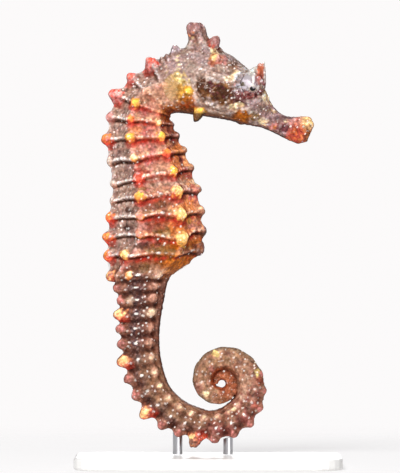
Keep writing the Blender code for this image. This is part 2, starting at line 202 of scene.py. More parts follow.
PALETTE = {
    "back_grey": (0.37, 0.245, 0.195),
    "back_mauve": (0.29, 0.17, 0.15),
    "back_pale": (0.54, 0.40, 0.32),
    "side_pink": (0.54, 0.24, 0.19),
    "side_magenta": (0.50, 0.12, 0.12),
    "side_salmon": (0.54, 0.24, 0.16),
    "side_brown": (0.17, 0.045, 0.018),
    "side_olive": (0.19, 0.09, 0.015),
    "red_shadow": (0.46, 0.028, 0.016),
    # Very dark: painted shade in grooves behind ridges and between tail rings, and a few dark patches on
    # the back.
    "groove": (0.035, 0.010, 0.008),
    "belly_orange": (0.88, 0.36, 0.15),
    "amber": (0.46, 0.12, 0.008),
    "amber_light": (0.46, 0.21, 0.04),
    "keel_dark": (0.16, 0.04, 0.02),
    "olive": (0.55, 0.38, 0.13),
    "neck_tan": (0.52, 0.29, 0.19),
    "throat": (0.22, 0.036, 0.006),
    "head_grey": (0.29, 0.205, 0.16),
    "lavender": (0.31, 0.20, 0.20),
    "gill_dark": (0.055, 0.018, 0.008),
    "gill_brown": (0.18, 0.07, 0.022),
    "gill_maroon": (0.085, 0.017, 0.022),
    "gill_rim": (0.60, 0.44, 0.37),
    "snout_mauve": (0.23, 0.10, 0.085),
    "snout_dark": (0.10, 0.055, 0.055),
    "tip_red": (0.34, 0.042, 0.022),
    "tip_pink": (0.43, 0.14, 0.11),
    "tip_yellow": (0.68, 0.38, 0.15),
    "tail_maroon": (0.155, 0.05, 0.03),
    "tail_slate": (0.04, 0.019, 0.022),
    "tail_belly": (0.25, 0.105, 0.07),
    "tail_pink": (0.46, 0.21, 0.14),
    "tail_knob": (0.40, 0.13, 0.105),
    "tail_patch": (0.66, 0.42, 0.28),
    "coil_tan": (0.30, 0.155, 0.085),
    "coil_pink": (0.28, 0.12, 0.08),
    "coil_maroon": (0.22, 0.05, 0.045),
    "coil_orange_shade": (0.24, 0.045, 0.012),
    "knob_yellow": (0.80, 0.42, 0.06),
    "flame_pale": (0.80, 0.46, 0.19),
    "flame_red": (0.66, 0.13, 0.065),
    "glow_orange": (0.84, 0.36, 0.07),
    "keel_tip": (0.68, 0.31, 0.16),
    "knob_orange": (0.80, 0.23, 0.05),
    "knob_red": (0.70, 0.07, 0.035),
    "knob_pink": (0.62, 0.25, 0.22),
    "white": (0.92, 0.84, 0.78),
    "cream": (0.85, 0.64, 0.36),
    "silver": (0.35, 0.305, 0.325),
    "lid_grey": (0.36, 0.32, 0.28),
    "eye_white": (0.62, 0.55, 0.60),
    "eye_olive": (0.11, 0.085, 0.05),
    "eye_stripe": (0.24, 0.11, 0.11),
    "eye_maroon": (0.19, 0.035, 0.035),
    "eye_dark": (0.15, 0.07, 0.07),
    "pupil": (0.004, 0.003, 0.003),
    "gular": (0.33, 0.085, 0.008),
    "spine_brown": (0.24, 0.045, 0.022),
    "spine_red": (0.36, 0.085, 0.04),
    "spine_pale": (0.62, 0.50, 0.44),
    "outline": (0.10, 0.055, 0.03),
    "coronet_pink": (0.25, 0.11, 0.095),
}
PALETTE = {name: np.array(value) for name, value in PALETTE.items()}

# Tip and flank colours of each kind of knob, and the kinds with a red painted shadow below them.
# A tip colour is painted light on a knob's top and headward side; the flank colour left tailward is
# partly painted shade.
KNOB_TINTS = {
    "red": ("knob_red", "knob_pink"), "pink": ("knob_pink", "tip_pink"),
    "orange": ("knob_orange", "knob_red"), "grey": ("back_pale", "tail_pink"),
    "yellow": ("knob_yellow", "knob_orange"), "pale": ("cream", "knob_orange"),
    "glow": ("flame_pale", "glow_orange"), "flesh": ("knob_pink", "knob_orange"),
    "coal": ("tip_red", "knob_red"),
    "keel": ("keel_tip", "keel_dark"), "dusk": ("coronet_pink", "gill_dark"),
    "flame": ("flame_pale", "flame_red"), "neck_knob": ("knob_yellow", "amber_light"),
    "tail": ("tail_knob", "tail_maroon"), "patch": ("tail_pink", "tail_pink"),
    "cream": ("cream", "tail_patch"), "eye_spine": ("spine_red", "spine_brown"),
    "eye_lid": ("lid_grey", "silver"),
    "cheek_spine": ("throat", "knob_yellow"), "crown": ("lavender", "head_grey"),
    "coronet_knob": ("coronet_pink", "tip_red"), "crown_knob": ("flame_pale", "spine_red"),
    "coronet_top": ("coronet_pink", "coronet_pink"),
}
SHADOW_CASTING_KNOBS = ["yellow", "red", "orange", "flame", "glow", "coal"]

# Marks on the flanks: x, z, half length, half height, colour, strength.
HEAD_MARKS = [
    (-7.6, 79.5, 2.6, 3.2, "lavender", 0.8),
    (-6.6, 75.6, 2.5, 3.2, "olive", 0.95),
    (-4.4, 74.6, 1.2, 1.9, "cream", 0.45),
    (-5.6, 74.2, 2.2, 2.4, "amber_light", 0.85),
    (-4.9, 74.4, 1.0, 1.0, "knob_yellow", 0.3),
    (-4.2, 72.4, 1.9, 1.5, "gular", 0.9),
    (-4.2, 71.2, 2.8, 1.3, "throat", 1.0),
    (-1.2, 82.4, 2.8, 2.4, "lavender", 0.5),
    (-2.4, 87.6, 2.4, 2.6, "coronet_pink", 0.85),
    (-1.0, 76.5, 1.5, 1.5, "gill_dark", 0.95),
    (-2.9, 75.4, 0.5, 2.2, "gill_rim", 0.8),
    (-1.4, 86.0, 1.0, 1.4, "back_mauve", 0.6),
    (-3.9, 87.0, 0.7, 0.7, "knob_orange", 0.7),
    (-3.2, 86.0, 0.4, 0.4, "cream", 0.9),
    (-0.6, 78.6, 2.4, 1.6, "gill_rim", 0.35),
    (2.6, 77.4, 3.2, 1.0, "gill_rim", 0.45),
    (1.3, 83.1, 0.9, 0.8, "cream", 0.95),
    (3.2, 81.2, 0.9, 1.2, "knob_pink", 0.9),
    (1.0, 80.4, 0.9, 0.7, "spine_red", 0.7),
    (5.2, 80.0, 1.4, 0.9, "gill_brown", 0.7),
    (6.0, 74.8, 1.7, 1.6, "gill_dark", 0.7),
    (5.8, 76.0, 0.6, 0.4, "knob_pink", 0.8),
    (6.1, 74.7, 0.8, 0.3, "white", 0.8),
    (4.6, 77.3, 1.2, 0.8, "cream", 0.6),
    (6.3, 78.3, 1.1, 0.8, "cream", 0.75),
    (6.8, 73.3, 2.3, 2.2, "gill_maroon", 0.75),
    (6.9, 77.8, 1.3, 1.1, "silver", 0.75),
    (3.4, 70.6, 5.5, 0.8, "gill_rim", 0.5),
    (5.2, 71.3, 0.9, 0.6, "cream", 0.9),
    (6.7, 71.8, 0.8, 0.5, "cream", 0.9),
    (9.6, 72.2, 1.6, 1.3, "lavender", 0.7),
    (12.1, 74.2, 0.9, 1.3, "cream", 0.85),
    (9.6, 69.4, 1.8, 0.8, "side_olive", 0.8),
    (11.6, 68.5, 1.0, 0.7, "cream", 0.9),
    (13.7, 67.4, 0.9, 0.8, "tip_pink", 0.9),
    (14.0, 67.2, 0.4, 0.4, "knob_orange", 0.8),
    (16.0, 67.0, 1.7, 1.1, "gill_maroon", 0.9),
    (13.4, 70.6, 1.2, 0.6, "olive", 0.35),
    (12.8, 69.4, 2.0, 1.0, "lavender", 0.6),
    (16.4, 68.6, 0.5, 0.4, "cream", 0.6),
    (11.6, 71.0, 1.6, 1.0, "snout_dark", 0.35),
    (15.5, 69.2, 3.0, 0.6, "snout_dark", 0.75),
    (17.9, 68.2, 1.2, 0.9, "knob_pink", 0.5),
    (4.8, 81.2, 2.8, 1.3, "snout_dark", 0.4),
    (-7.8, 81.4, 2.2, 1.6, "back_mauve", 0.5),
    (3.4, 71.6, 2.6, 1.0, "gill_brown", 0.4),
    (-1.9, 72.2, 1.1, 1.1, "gill_rim", 0.5),
    (-7.4, 71.6, 1.4, 1.2, "gular", 0.45),
]
TRUNK_MARKS = [
    (-2.0, 41.7, 1.5, 1.3, "keel_dark", 0.9),
    (-5.0, 38.9, 1.3, 0.9, "keel_dark", 0.8),
    (-4.6, 41.4, 1.5, 0.9, "keel_dark", 0.85),
    (-12.0, 55.4, 2.4, 0.9, "back_pale", 0.6),
    (-11.1, 37.4, 1.5, 1.2, "tail_patch", 0.5),
    (-9.0, 58.6, 2.4, 0.9, "neck_tan", 0.6),
    (-16.4, 49.7, 0.9, 0.7, "groove", 0.85),
    (-16.7, 46.2, 1.1, 0.9, "groove", 0.85),
    (-13.8, 42.3, 1.5, 0.8, "groove", 0.8),
    (-17.6, 61.5, 1.0, 0.6, "groove", 0.4),
    (-14.0, 58.0, 1.8, 0.6, "tip_red", 0.8),
    (-13.6, 54.3, 0.9, 0.5, "side_olive", 0.7),
    (-8.0, 47.0, 3.0, 1.6, "side_olive", 0.3),
    (-6.6, 46.3, 1.5, 1.9, "knob_orange", 0.6),
    (-6.8, 50.2, 1.3, 1.2, "belly_orange", 0.55),
    (-7.0, 59.5, 1.1, 2.6, "knob_orange", 0.5),
    (-3.0, 52.5, 1.1, 3.2, "side_magenta", 0.4),
    (-10.5, 47.0, 2.0, 1.4, "tip_red", 0.35),
    (-13.2, 50.0, 1.5, 3.0, "side_brown", 0.45),
    (-16.2, 38.2, 1.8, 2.2, "side_brown", 0.45),
    (-5.4, 39.4, 1.9, 1.4, "throat", 0.5),
    (-9.0, 40.4, 3.0, 1.8, "side_olive", 0.75),
    (-6.0, 58.0, 2.0, 1.0, "knob_red", 0.45),
    (-3.5, 50.5, 1.4, 1.4, "belly_orange", 0.6),
    (-6.6, 38.6, 2.6, 2.0, "amber", 0.9),
    (-12.6, 64.6, 1.4, 0.6, "side_olive", 0.6),
    (-15.0, 66.5, 1.6, 0.7, "knob_orange", 0.5),
    (-7.5, 55.6, 3.2, 0.9, "back_pale", 0.55),
    (-4.6, 53.4, 1.8, 1.3, "side_pink", 0.7),
    (-2.6, 55.8, 1.2, 0.8, "cream", 0.5),
    (-11.6, 55.3, 0.8, 0.6, "gill_brown", 0.6),
    (-3.4, 46.0, 1.6, 1.2, "side_pink", 0.6),
    (-1.8, 48.8, 1.2, 0.8, "keel_dark", 0.6),
    (-4.6, 50.6, 1.6, 2.0, "knob_orange", 0.6),
    (-4.9, 45.4, 1.7, 1.7, "knob_orange", 0.55),
    (-5.4, 43.4, 1.1, 1.3, "knob_yellow", 0.7),
    (-4.4, 48.0, 1.0, 1.0, "knob_yellow", 0.6),
    (-9.6, 51.4, 2.4, 0.9, "gill_brown", 0.55),
    (-6.2, 62.6, 1.4, 1.0, "knob_orange", 0.6),
    (-4.4, 60.0, 1.2, 1.4, "belly_orange", 0.7),
]
EYE_MARKS = [
    (8.1, 77.6, 1.2, 0.8, "silver", 1.0),
    (8.9, 78.6, 1.0, 0.9, "lid_grey", 0.9),
    (7.8, 76.8, 0.55, 0.4, "eye_white", 0.9),
    (8.3, 76.3, 0.6, 0.5, "eye_white", 0.9),
    (8.6, 75.8, 0.45, 0.5, "eye_white", 0.8),
    # A greenish painted shadow on the eye's rear edge.
    (7.2, 76.1, 0.5, 0.42, "eye_olive", 0.9),
    (7.4, 75.45, 0.7, 0.24, "eye_white", 0.8),
    (10.0, 77.0, 0.26, 1.3, "eye_stripe", 0.95),
    (10.1, 75.8, 0.3, 0.6, "silver", 0.7),
    (10.6, 76.8, 0.42, 0.8, "tip_pink", 0.8),
    (9.45, 76.8, 0.32, 1.5, "white", 0.7),
    (10.4, 75.4, 0.26, 0.55, "white", 0.6),
    (11.1, 75.8, 0.32, 0.8, "eye_olive", 0.8),
    (8.1, 74.3, 0.5, 0.35, "knob_pink", 0.7),
    (9.35, 74.0, 0.3, 0.5, "knob_pink", 0.7),
    (8.5, 73.6, 0.4, 0.8, "eye_maroon", 0.9),
    (10.0, 73.8, 0.45, 0.3, "gill_maroon", 0.8),
]
COIL_MARKS = [
    (-0.6, 11.4, 0.65, 0.65, "cream", 0.85),
    (1.5, 19.7, 0.9, 0.6, "olive", 0.8),
    (5.5, 8.2, 0.5, 0.5, "cream", 0.8),
    (10.8, 14.2, 0.9, 0.8, "tip_red", 0.5),
    (9.9, 9.0, 0.9, 0.8, "tip_red", 0.45),
    (10.4, 15.8, 0.6, 0.8, "olive", 0.8),
    (0.6, 16.6, 0.8, 0.7, "coil_maroon", 0.6),
    (8.0, 6.0, 1.4, 0.9, "coil_maroon", 0.7),
    (4.0, 3.4, 2.2, 1.0, "coil_maroon", 0.7),
    (-1.6, 13.6, 0.5, 0.5, "tail_patch", 0.7),
    (7.4, 13.0, 1.5, 2.4, "tail_patch", 0.3),
    (-2.0, 12.6, 1.0, 1.6, "coil_maroon", 0.4),
    (1.6, 4.2, 2.6, 1.5, "coil_maroon", 0.45),
    (-16.4, 30.9, 0.9, 1.4, "tail_patch", 0.5),
]

# Dots of the trunk and tail: fold, phase, half size in each, strength.
TAIL_DOTS = [(5.0, 0.0, 0.17, 0.10, 1.0), (5.48, 0.2, 0.08, 0.08, 0.8),
             (5.46, -0.16, 0.08, 0.08, 0.8), (4.5, 0.15, 0.08, 0.09, 0.7)]
TRUNK_DOTS = [(5.1, -0.02, 0.12, 0.07, 1.0), (7.0, -0.02, 0.10, 0.06, 0.8)]

# Finishes: values of the main shader's inputs.
SKIN_FINISH = {
    "Subsurface Weight": 0.15, "Subsurface Radius": (1.0, 0.4, 0.2), "Subsurface Scale": 0.0006,
    "Specular IOR Level": 0.12, "Specular Tint": (1.0, 0.55, 0.4, 1.0),
    "Coat Weight": 0.03, "Coat Roughness": 0.2,
}
SPECK_COLOUR = (0.80, 0.68, 0.60, 1.0)
EYE_FINISH = {
    "Roughness": 0.35, "Specular IOR Level": 0.15, "Coat Weight": 0.2, "Coat Roughness": 0.03,
}
FIN_FINISH = {"Roughness": 0.55, "Specular IOR Level": 0.2}
MIDLINE_ALPHA, PECTORAL_ALPHA = 0.12, 0.24
FLOOR_FINISH = {
    "Base Color": (0.32, 0.32, 0.32, 1), "Roughness": 0.9, "Specular IOR Level": 0.0,
    "Emission Color": (1.0, 0.98, 0.98, 1), "Emission Strength": 0.60,
}
# Stand: colour, roughness and metallic share.
STAND_SATIN = ((0.78, 0.77, 0.75), 0.35, 0.0)
ROD_STEEL = ((0.62, 0.62, 0.64), 0.3, 1.0)

# Studio, in metres. Lights: name, place, size and power.
LIGHTS = [
    ("key", (-0.22, -0.72, 0.66), 0.28, 11.0),
    ("fill", (0.35, -0.90, 0.05), 0.5, 3.2),
    ("rear", (0.15, 0.85, 0.40), 0.5, 4.0),
]
LIT_POINT = (0, 0, 0.045)
FLOOR_REACH = 0.6
FLOOR_FADE = (0.07, 0.22)
WORLD_LIGHT = (0.22, 0.22, 0.23, 1)
BACKDROP = (0.972, 0.956, 0.956, 1)
CAMERA_DISTANCE = 0.9
VIEW_HEIGHT = 99.33 * MM
VIEW_CENTRE = (-1.7 * MM, 48.5 * MM)


# ---------------------------------------------------------------- numbers

def ease(low, high, value):
    """0 at low, 1 at high and a smooth step between them; low may be the larger."""
    share = np.clip((value - low) / (high - low), 0.0, 1.0)
    return share * share * (3 - 2 * share)


def hump(value, centre, width):
    """1 at the centre, and a smooth fall to 0 on both sides of it."""
    return np.exp(-(((value - centre) / width) ** 2))


def smooth_rows(rows, places):
    """Read a table of rows, keyed by their first value, along a smooth curve through them."""
    table = np.array(rows, float)
    keys = table[:, 0]
    values = table[:, 1:]
    places = np.clip(places, keys[0], keys[-1])
    index = np.clip(np.searchsorted(keys, places, side="right") - 1, 0, len(keys) - 2)
    before = np.maximum(index - 1, 0)
    after = np.minimum(index + 2, len(keys) - 1)
    span = (keys[index + 1] - keys[index])[:, None]
    share = ((places - keys[index])[:, None]) / span
    start, end = values[index], values[index + 1]
    start_slope = (end - values[before]) / (keys[index + 1] - keys[before])[:, None]
    end_slope = (values[after] - start) / (keys[after] - keys[index])[:, None]
    return (
        (2 * share**3 - 3 * share**2 + 1) * start
        + (share**3 - 2 * share**2 + share) * span * start_slope
        + (3 * share**2 - 2 * share**3) * end
        + (share**3 - share**2) * span * end_slope
    )


def ripple(points, wavelength, seed):
    """Smooth lumps between about -1 and 1, the same on each run."""
    source = np.random.default_rng(seed)
    total = np.zeros(len(points))
    waves = 14
    for _ in range(waves):
        direction = source.normal(size=3)
        direction /= np.linalg.norm(direction)
        scale = 2 * math.pi / (wavelength * source.uniform(0.7, 1.5))
        total += np.sin(points @ direction * scale + source.uniform(0, 2 * math.pi))
    return total / math.sqrt(waves)


def patchy(noise, base, depth):
    """A mask of soft patches: base plus depth times the noise, kept between 0 and 1."""
    return np.clip(base + depth * noise, 0, 1)


def from_spot(points, spot):
    """Distances along and up from a spot in the side view."""
    return points[..., 0] - spot[0], points[..., 2] - spot[-1]


def turned(points, spot, degrees):
    """The same on axes turned by an angle."""
    along, up = from_spot(points, spot)
    angle = math.radians(degrees)
    return (
        along * math.cos(angle) + up * math.sin(angle),
        -along * math.sin(angle) + up * math.cos(angle),
    )


# ---------------------------------------------------------------- the body's form

def body_lines(places):
    """Dorsal x and z, ventral x and z, and half width at places along the body."""
    straight = smooth_rows(OUTLINE, places)
    coiled = coil_lines(np.maximum(places, COIL_START_RING))
    return np.where((places > COIL_START_RING)[:, None], coiled, straight)


def coil_lines(places):
    """The same lines as body_lines, for the tail's spiral coil."""
    turns = places - COIL_START_RING
    angle = COIL_START_ANGLE + FIRST_RING_ANGLE * turns + RING_ANGLE_GROWTH * turns**2
    outer, inner, half_width = smooth_rows(COIL_ROWS, angle).T
    radians = np.radians(angle)
    across = np.cos(radians)
    up = np.sin(radians)
    x, z = COIL_CENTRE
    return np.stack(
        [x + outer * across, z + outer * up, x + inner * across, z + inner * up, half_width], 1
    )


def middle_and_half(lines):
    """The middle of each section in the side view, and the way from it to the back."""
    return (lines[:, 0:2] + lines[:, 2:4]) / 2, (lines[:, 0:2] - lines[:, 2:4]) / 2


def closed_curve(corners, index):
    """Depth and width shares at a fractional corner index, 0 to 16 round the section."""
    mirrored = corners + [(depth, -across) for depth, across in corners[-2:0:-1]]
    table = np.array(mirrored)
    count = len(table)
    whole = np.floor(index).astype(int)
    share = (index - whole)[:, None]
    points = [table[(whole + shift) % count] for shift in (-1, 0, 1, 2)]
    return 0.5 * (
        2 * points[1]
        + (points[2] - points[0]) * share
        + (2 * points[0] - 5 * points[1] + 4 * points[2] - points[3]) * share**2
        + (3 * points[1] - points[0] - 3 * points[2] + points[3]) * share**3
    )


def head_curve(index, places):
    """Egg-shaped head sections, narrow above, for each place and each fractional corner."""
    angle = math.pi * index / CORNERS
    depth = np.sign(np.cos(angle)) * np.abs(np.cos(angle)) ** 0.85
    across = np.sign(np.sin(angle)) * np.abs(np.sin(angle)) ** 0.8
    taper = 0.22 * ease(-3.5, -1.5, places)[:, None]
    wide = across[None, :] * (1 - taper * np.maximum(depth, 0.0)[None, :])
    return np.broadcast_to(depth, wide.shape), wide


def base_grid():
    """The body's plain surface as a grid: places along it by fractional corners round it."""
    places = np.arange(OUTLINE[0][0], LAST_RING + PLACE_STEP / 2, PLACE_STEP)
    index = np.arange(0, 2 * CORNERS, 1 / SAMPLES_PER_CORNER)
    lines = body_lines(places)
    section = np.stack(head_curve(index, places), 2)
    for corners, start, end in ((TRUNK_CORNERS, 0.2, 2.4), (TAIL_CORNERS, 10.2, 13.0)):
        share = ease(start, end, places)[:, None, None]
        section = section + (closed_curve(corners, index) - section) * share
    depth, across = section[:, :, 0], section[:, :, 1]
    middle, half_depth = middle_and_half(lines)
    points = np.empty(depth.shape + (3,))
    points[:, :, 0] = middle[:, 0:1] + half_depth[:, 0:1] * depth * SLIMMING
    points[:, :, 2] = middle[:, 1:2] + half_depth[:, 1:2] * depth * SLIMMING
    points[:, :, 1] = -lines[:, 4:5] * across * SLIMMING
    return places, index, points


def grid_normals(points):
    """Outward unit normals of a grid that closes round its second direction."""
    along = np.gradient(points, axis=0)
    around = np.roll(points, -1, axis=1) - np.roll(points, 1, axis=1)
    normals = np.cross(around, along)
    normals /= np.linalg.norm(normals, axis=2, keepdims=True) + 1e-12
    centre = points.mean(axis=1, keepdims=True)
    outward = np.sign(((points - centre) * normals).sum(axis=(1, 2)))
    return normals * outward[:, None, None]


def ring_profile(phase, tail, flank):
    """A trunk ring rises towards the tail and drops into a groove; a tail ring is a soft wave."""
    rise = np.clip((phase + 0.5) / 0.5, 0, 1) ** 1.3
    fall = np.exp(-((phase / (0.085 + 0.05 * flank)) ** 2))
    groove = -0.45 * (1 - 0.6 * flank) * hump(phase, 0.15, 0.07)
    plate = np.where(phase < 0, rise, fall) + groove
    wave = (0.5 + 0.5 * np.cos(2 * math.pi * phase)) ** 1.3
    return plate + (wave - plate) * tail


def fold_index(index):
    """Fractional corner from the middle of the back, the same on both sides."""
    return np.minimum(index, 2 * CORNERS - index)


def ring_shift(place, fold):
    """How far tailward a trunk ring lies: it wavers, bows at knobs and droops on the low belly."""
    trunk = 1 - ease(11.0, 12.0, place)
    bow = 0.035 * np.cos(math.pi * fold) * ease(1.0, 3.0, place)
    waver = 0.03 * np.sin(2.6 * place + 1.9 * fold)
    droop = 0.38 * hump(place, 10.2, 0.9) * hump(fold, 5.9, 1.0)
    return trunk * (bow - waver + droop)


def ring_phase(place, fold):
    """Distance from the nearest ring, in rings."""
    shifted = place - ring_shift(place, fold)
    return shifted - np.round(shifted)


def coil_inside(place, fold):
    """How far a spot is on the smoother inner half of the tail's bend and coil."""
    return ease(16.5, 19.5, place) * ease(4.4, 5.4, fold)


def coil_fade(place):
    """The share of the rings' and ridges' height that is left along the coil."""
    return 1 - 0.85 * ease(24, 33, place)


def bead_wave(fold):
    """0 to 1 and back for each bead on the way round a ring."""
    return 0.5 + 0.5 * np.cos(2 * math.pi * fold * BEADS_PER_CORNER)


def ring_height(place, fold, spacing, tail, flank):
    """How high the rings stand: lower on throat, flank, the tail's belly and the coil."""
    tail_belly = ease(6.2, 7.2, fold) * tail
    throat_side = (1 - ease(1.8, 4.2, place)) * ease(2.7, 3.9, fold)
    height = np.minimum(spacing * 0.16, 0.52) * ease(0.4, 1.0, place)
    height = height * (1 - tail_belly) * coil_fade(place)
    height = height * (1 - 0.85 * throat_side)
    height = height * (1 - 0.45 * tail * hump(fold, 5.0, 0.6))
    height = height * (1 - 0.55 * coil_inside(place, fold))
    return height * (1 - 0.3 * flank * (1 - tail))


def add_beads(height, place, fold, phase, tail):
    """Raise rows of beads on the trunk rings' edges and on the plates before them."""
    beads = bead_wave(fold)
    on_trunk = (1 - tail) * ease(1, 2, place)
    height = height + 0.12 * hump(phase, -0.02, 0.05) * beads * on_trunk
    return height + 0.07 * (beads - 0.5) * np.exp(-np.abs(phase + 0.05) / 0.22) * on_trunk


def ridge_height(place, fold, tail):
    """The long ridges that join the knobs of the rings."""
    ridges = 0.38 * (ease(0.6, 2.0, place) * (1 - tail)) * hump(fold, UPPER_RIDGE, 0.3)
    ridges = ridges + 0.30 * ease(0.6, 2.0, place) * coil_fade(place) * hump(fold, SIDE_RIDGE, 0.26)
    ridges = ridges + 0.26 * ease(2.0, 4.0, place) * coil_fade(place) * hump(fold, LOWER_RIDGE, 0.26)
    return ridges + 0.40 * ease(3.5, 5.0, place) * (1 - tail) * hump(fold, KEEL, 0.4)


def relief(places, index, points):
    """Height of rings, beads and ridges over the plain surface."""
    fold = fold_index(index)[None, :]
    place = places[:, None]
    spacing = np.linalg.norm(np.gradient(points, axis=0), axis=2) / PLACE_STEP
    phase = ring_phase(place, fold)
    tail = ease(11.3, 12.6, place)
    flank = hump(fold, 5.3, 0.9)
    uneven = 1 + 0.2 * np.sin(3.7 * np.round(place) + 1.3 * fold) * (1 - tail)
    profile = ring_profile(phase, tail, flank) * uneven - 0.6 - 0.25 * tail
    height = ring_height(place, fold, spacing, tail, flank) * profile
    height = add_beads(height, place, fold, phase, tail)
    trunk = ease(0.6, 2.0, place) * (1 - tail)
    between = hump(fold, 3.0, 0.5) + hump(fold, 5.0, 0.5) + hump(fold, 1.0, 0.4)
    return height + ridge_height(place, fold, tail) - 0.2 * trunk * between


def head_relief(points):
    """Gill covers, brows and the nape's small steps over the plain head."""
    x, z = points[..., 0], points[..., 2]
    side = ease(1.2, 3.0, np.abs(points[..., 1]))
    along, up = turned(points, (2.6, 74.6), -20)
    cover = np.sqrt((along / 5.0) ** 2 + (up / 3.9) ** 2)
    bulge = 0.6 * np.clip(1 - cover**2, 0, 1) ** 0.8
    fan = np.arctan2(up - 1.6, along - 4.2)
    striations = 0.07 * np.cos(26 * fan) * ease(0.25, 0.5, cover) * (1 - ease(0.85, 1.0, cover))
    slit = -0.2 * hump(cover, 1.04, 0.09) * ease(1.0, -1.0, along) * ease(1.0, -0.5, up)
    brow = 0.25 * hump(np.hypot(*from_spot(points, EYE_CENTRE)), 3.6, 0.5)
    near_head = ease(-9.0, -6.0, x)
    nape = hump(x, -9.4, 1.7) * ease(79.5, 81.0, z) * (1 - ease(2.0, 3.6, np.abs(points[..., 1])))
    steps = -0.22 + 0.34 * np.cos(2 * math.pi * (x + 0.5 * z) / 1.35)
    return (bulge + striations + slit + brow) * side * near_head + steps * nape


# ---------------------------------------------------------------- knobs, spines and crests

def ring_knobs(ring):
    """Corner, height, base radius and kind of each knob on one ring."""
    side = SIDE_KNOB_CORNER.get(ring, SIDE_RIDGE)
    tables = ((UPPER_RIDGE, BACK_KNOBS), (side, SIDE_KNOBS),
              (LOWER_RIDGE, LOWER_KNOBS), (KEEL, KEEL_KNOBS))
    on_trunk = [(corner,) + table[ring] for corner, table in tables if ring in table]
    return on_trunk + (tail_knobs(ring) if ring > TRUNK_RINGS + 1 else [])


def tail_knobs(ring):
    """The same for a tail ring: every third knob is large at first, and all fade on the coil."""
    fade = float(1 - ease(24, 32, ring))
    if fade <= 0.05:
        return []
    large = ring % 3 == 0 and ring < 27
    pale = ring % 3 == 0 and ring < 18
    uneven = 1 + 0.16 * math.sin(2.4 * ring)
    height = (1.75 if large else SMALL_TAIL_KNOBS.get(ring, 0.85)) * fade * uneven
    radius = (1.7 if large else 1.35) * (0.5 + 0.5 * fade)
    lower = 1.0 if pale else 0.8
    lower_radius = 1.3 * lower * uneven * (0.6 + 0.4 * fade)
    return [
        (SIDE_RIDGE, height, radius, "flame" if large else "tail"),
        (LOWER_RIDGE, 0.4 * fade * lower, lower_radius, "cream" if pale else "patch"),
    ]


def body_knobs(places, index, points, normals):
    """Every knob of the rings, with where it stands, its size, kind and tailward way."""
    knobs = []
    for ring in range(1, int(LAST_RING) + 1):
        for corner, height, radius, kind in ring_knobs(ring):
            droop = ring_shift(ring, corner) if ring in DROOPING_RINGS else 0.0
            row = int(np.argmin(np.abs(places - ring - droop + 0.02)))
            for place_round in sorted({corner, 2 * CORNERS - corner}):
                column = int(round(place_round * SAMPLES_PER_CORNER)) % len(index)
                base = points[row, column]
                along = points[min(row + 6, len(places) - 1), column] - base
                along /= np.linalg.norm(along) + 1e-9
                knobs.append({
                    "place": places[row], "base": base, "axis": normals[row, column],
                    "height": height, "radius": radius, "kind": kind, "tailward": along,
                })
    return knobs


def add_knobs(height, knobs, places, points):
    """Raise the body's rounded knobs out of the rings' relief."""
    for knob in knobs:
        rows = np.nonzero(np.abs(places - knob["place"]) < 0.75)[0]
        distance = np.linalg.norm(points[rows] - knob["base"], axis=2) / knob["radius"]
        share = np.exp(-((distance / 0.74) ** 3))
        height[rows] += share * (knob["height"] - height[rows])
    return height


def tube_mesh(rings):
    """Vertices and faces of a closed tube through rings of points, fanned at both ends."""
    count, around = rings.shape[0], rings.shape[1]
    vertices = np.concatenate([rings.reshape(-1, 3), rings[0].mean(0)[None], rings[-1].mean(0)[None]])
    row = np.arange(count - 1)[:, None] * around
    column = np.arange(around)[None, :]
    after = (column + 1) % around
    quads = np.stack([row + column, row + after, row + around + after, row + around + column], 2)
    faces = quads.reshape(-1, 4).tolist()
    first_end = count * around
    last_row = (count - 1) * around
    for step, following in enumerate(after[0].tolist()):
        faces.append((first_end, following, step))
        faces.append((first_end + 1, last_row + step, last_row + following))
    return vertices, faces


def blunt_cone(spine, sink=0.7, segments=18):
    """Vertices and faces of a spine: a bell with a round tip, sunk a little into the body."""
    direction = spine["axis"]
    first = np.cross(direction, (0.0, 0.0, 1.0) if abs(direction[2]) < 0.9 else (1.0, 0.0, 0.0))
    first /= np.linalg.norm(first)
    second = np.cross(direction, first)
    angles = np.linspace(0, 2 * math.pi, segments, endpoint=False)
    spokes = np.cos(angles)[:, None] * first + np.sin(angles)[:, None] * second
    rings = []
    for share in np.linspace(0, 0.98, 12):
        level = -sink + (spine["height"] + sink) * share
        slope = 1.2 + (spine["tip_share"] - 1.2) * share
        round_tip = math.sqrt(1 - share**4)
        rings.append(spine["base"] + direction * level + spokes * (spine["radius"] * slope * round_tip))
    return tube_mesh(np.array(rings))


def ball_mesh(centre, radius, segments=32):
    """Vertices and faces of a ball, as a tube of rings."""
    angles = np.linspace(0, 2 * math.pi, segments, endpoint=False)
    rings = []
    for step in range(1, segments // 2):
        polar = math.pi * step / (segments // 2)
        spoke = radius * math.sin(polar)
        level = np.full(segments, radius * math.cos(polar))
        rings.append(np.stack([spoke * np.cos(angles), spoke * np.sin(angles), level], 1) + centre)
    return tube_mesh(np.array(rings))


def coronet_mesh():
    """The crown's column, five-lobed in section."""
    segments = 60
    levels = smooth_rows(
        [(number,) + row for number, row in enumerate(CORONET_LEVELS)],
        np.linspace(0, len(CORONET_LEVELS) - 1, 40),
    )
    angles = np.linspace(0, 2 * math.pi, segments, endpoint=False)
    lobe = 1 + 0.10 * np.cos(5 * angles)
    rings = []
    for x, z, half_length, half_width in levels:
        across = half_length * lobe * np.cos(angles)
        aside = half_width * lobe * np.sin(angles)
        rings.append(np.stack([x + across, aside, np.full(segments, z)], 1))
    return tube_mesh(np.array(rings))


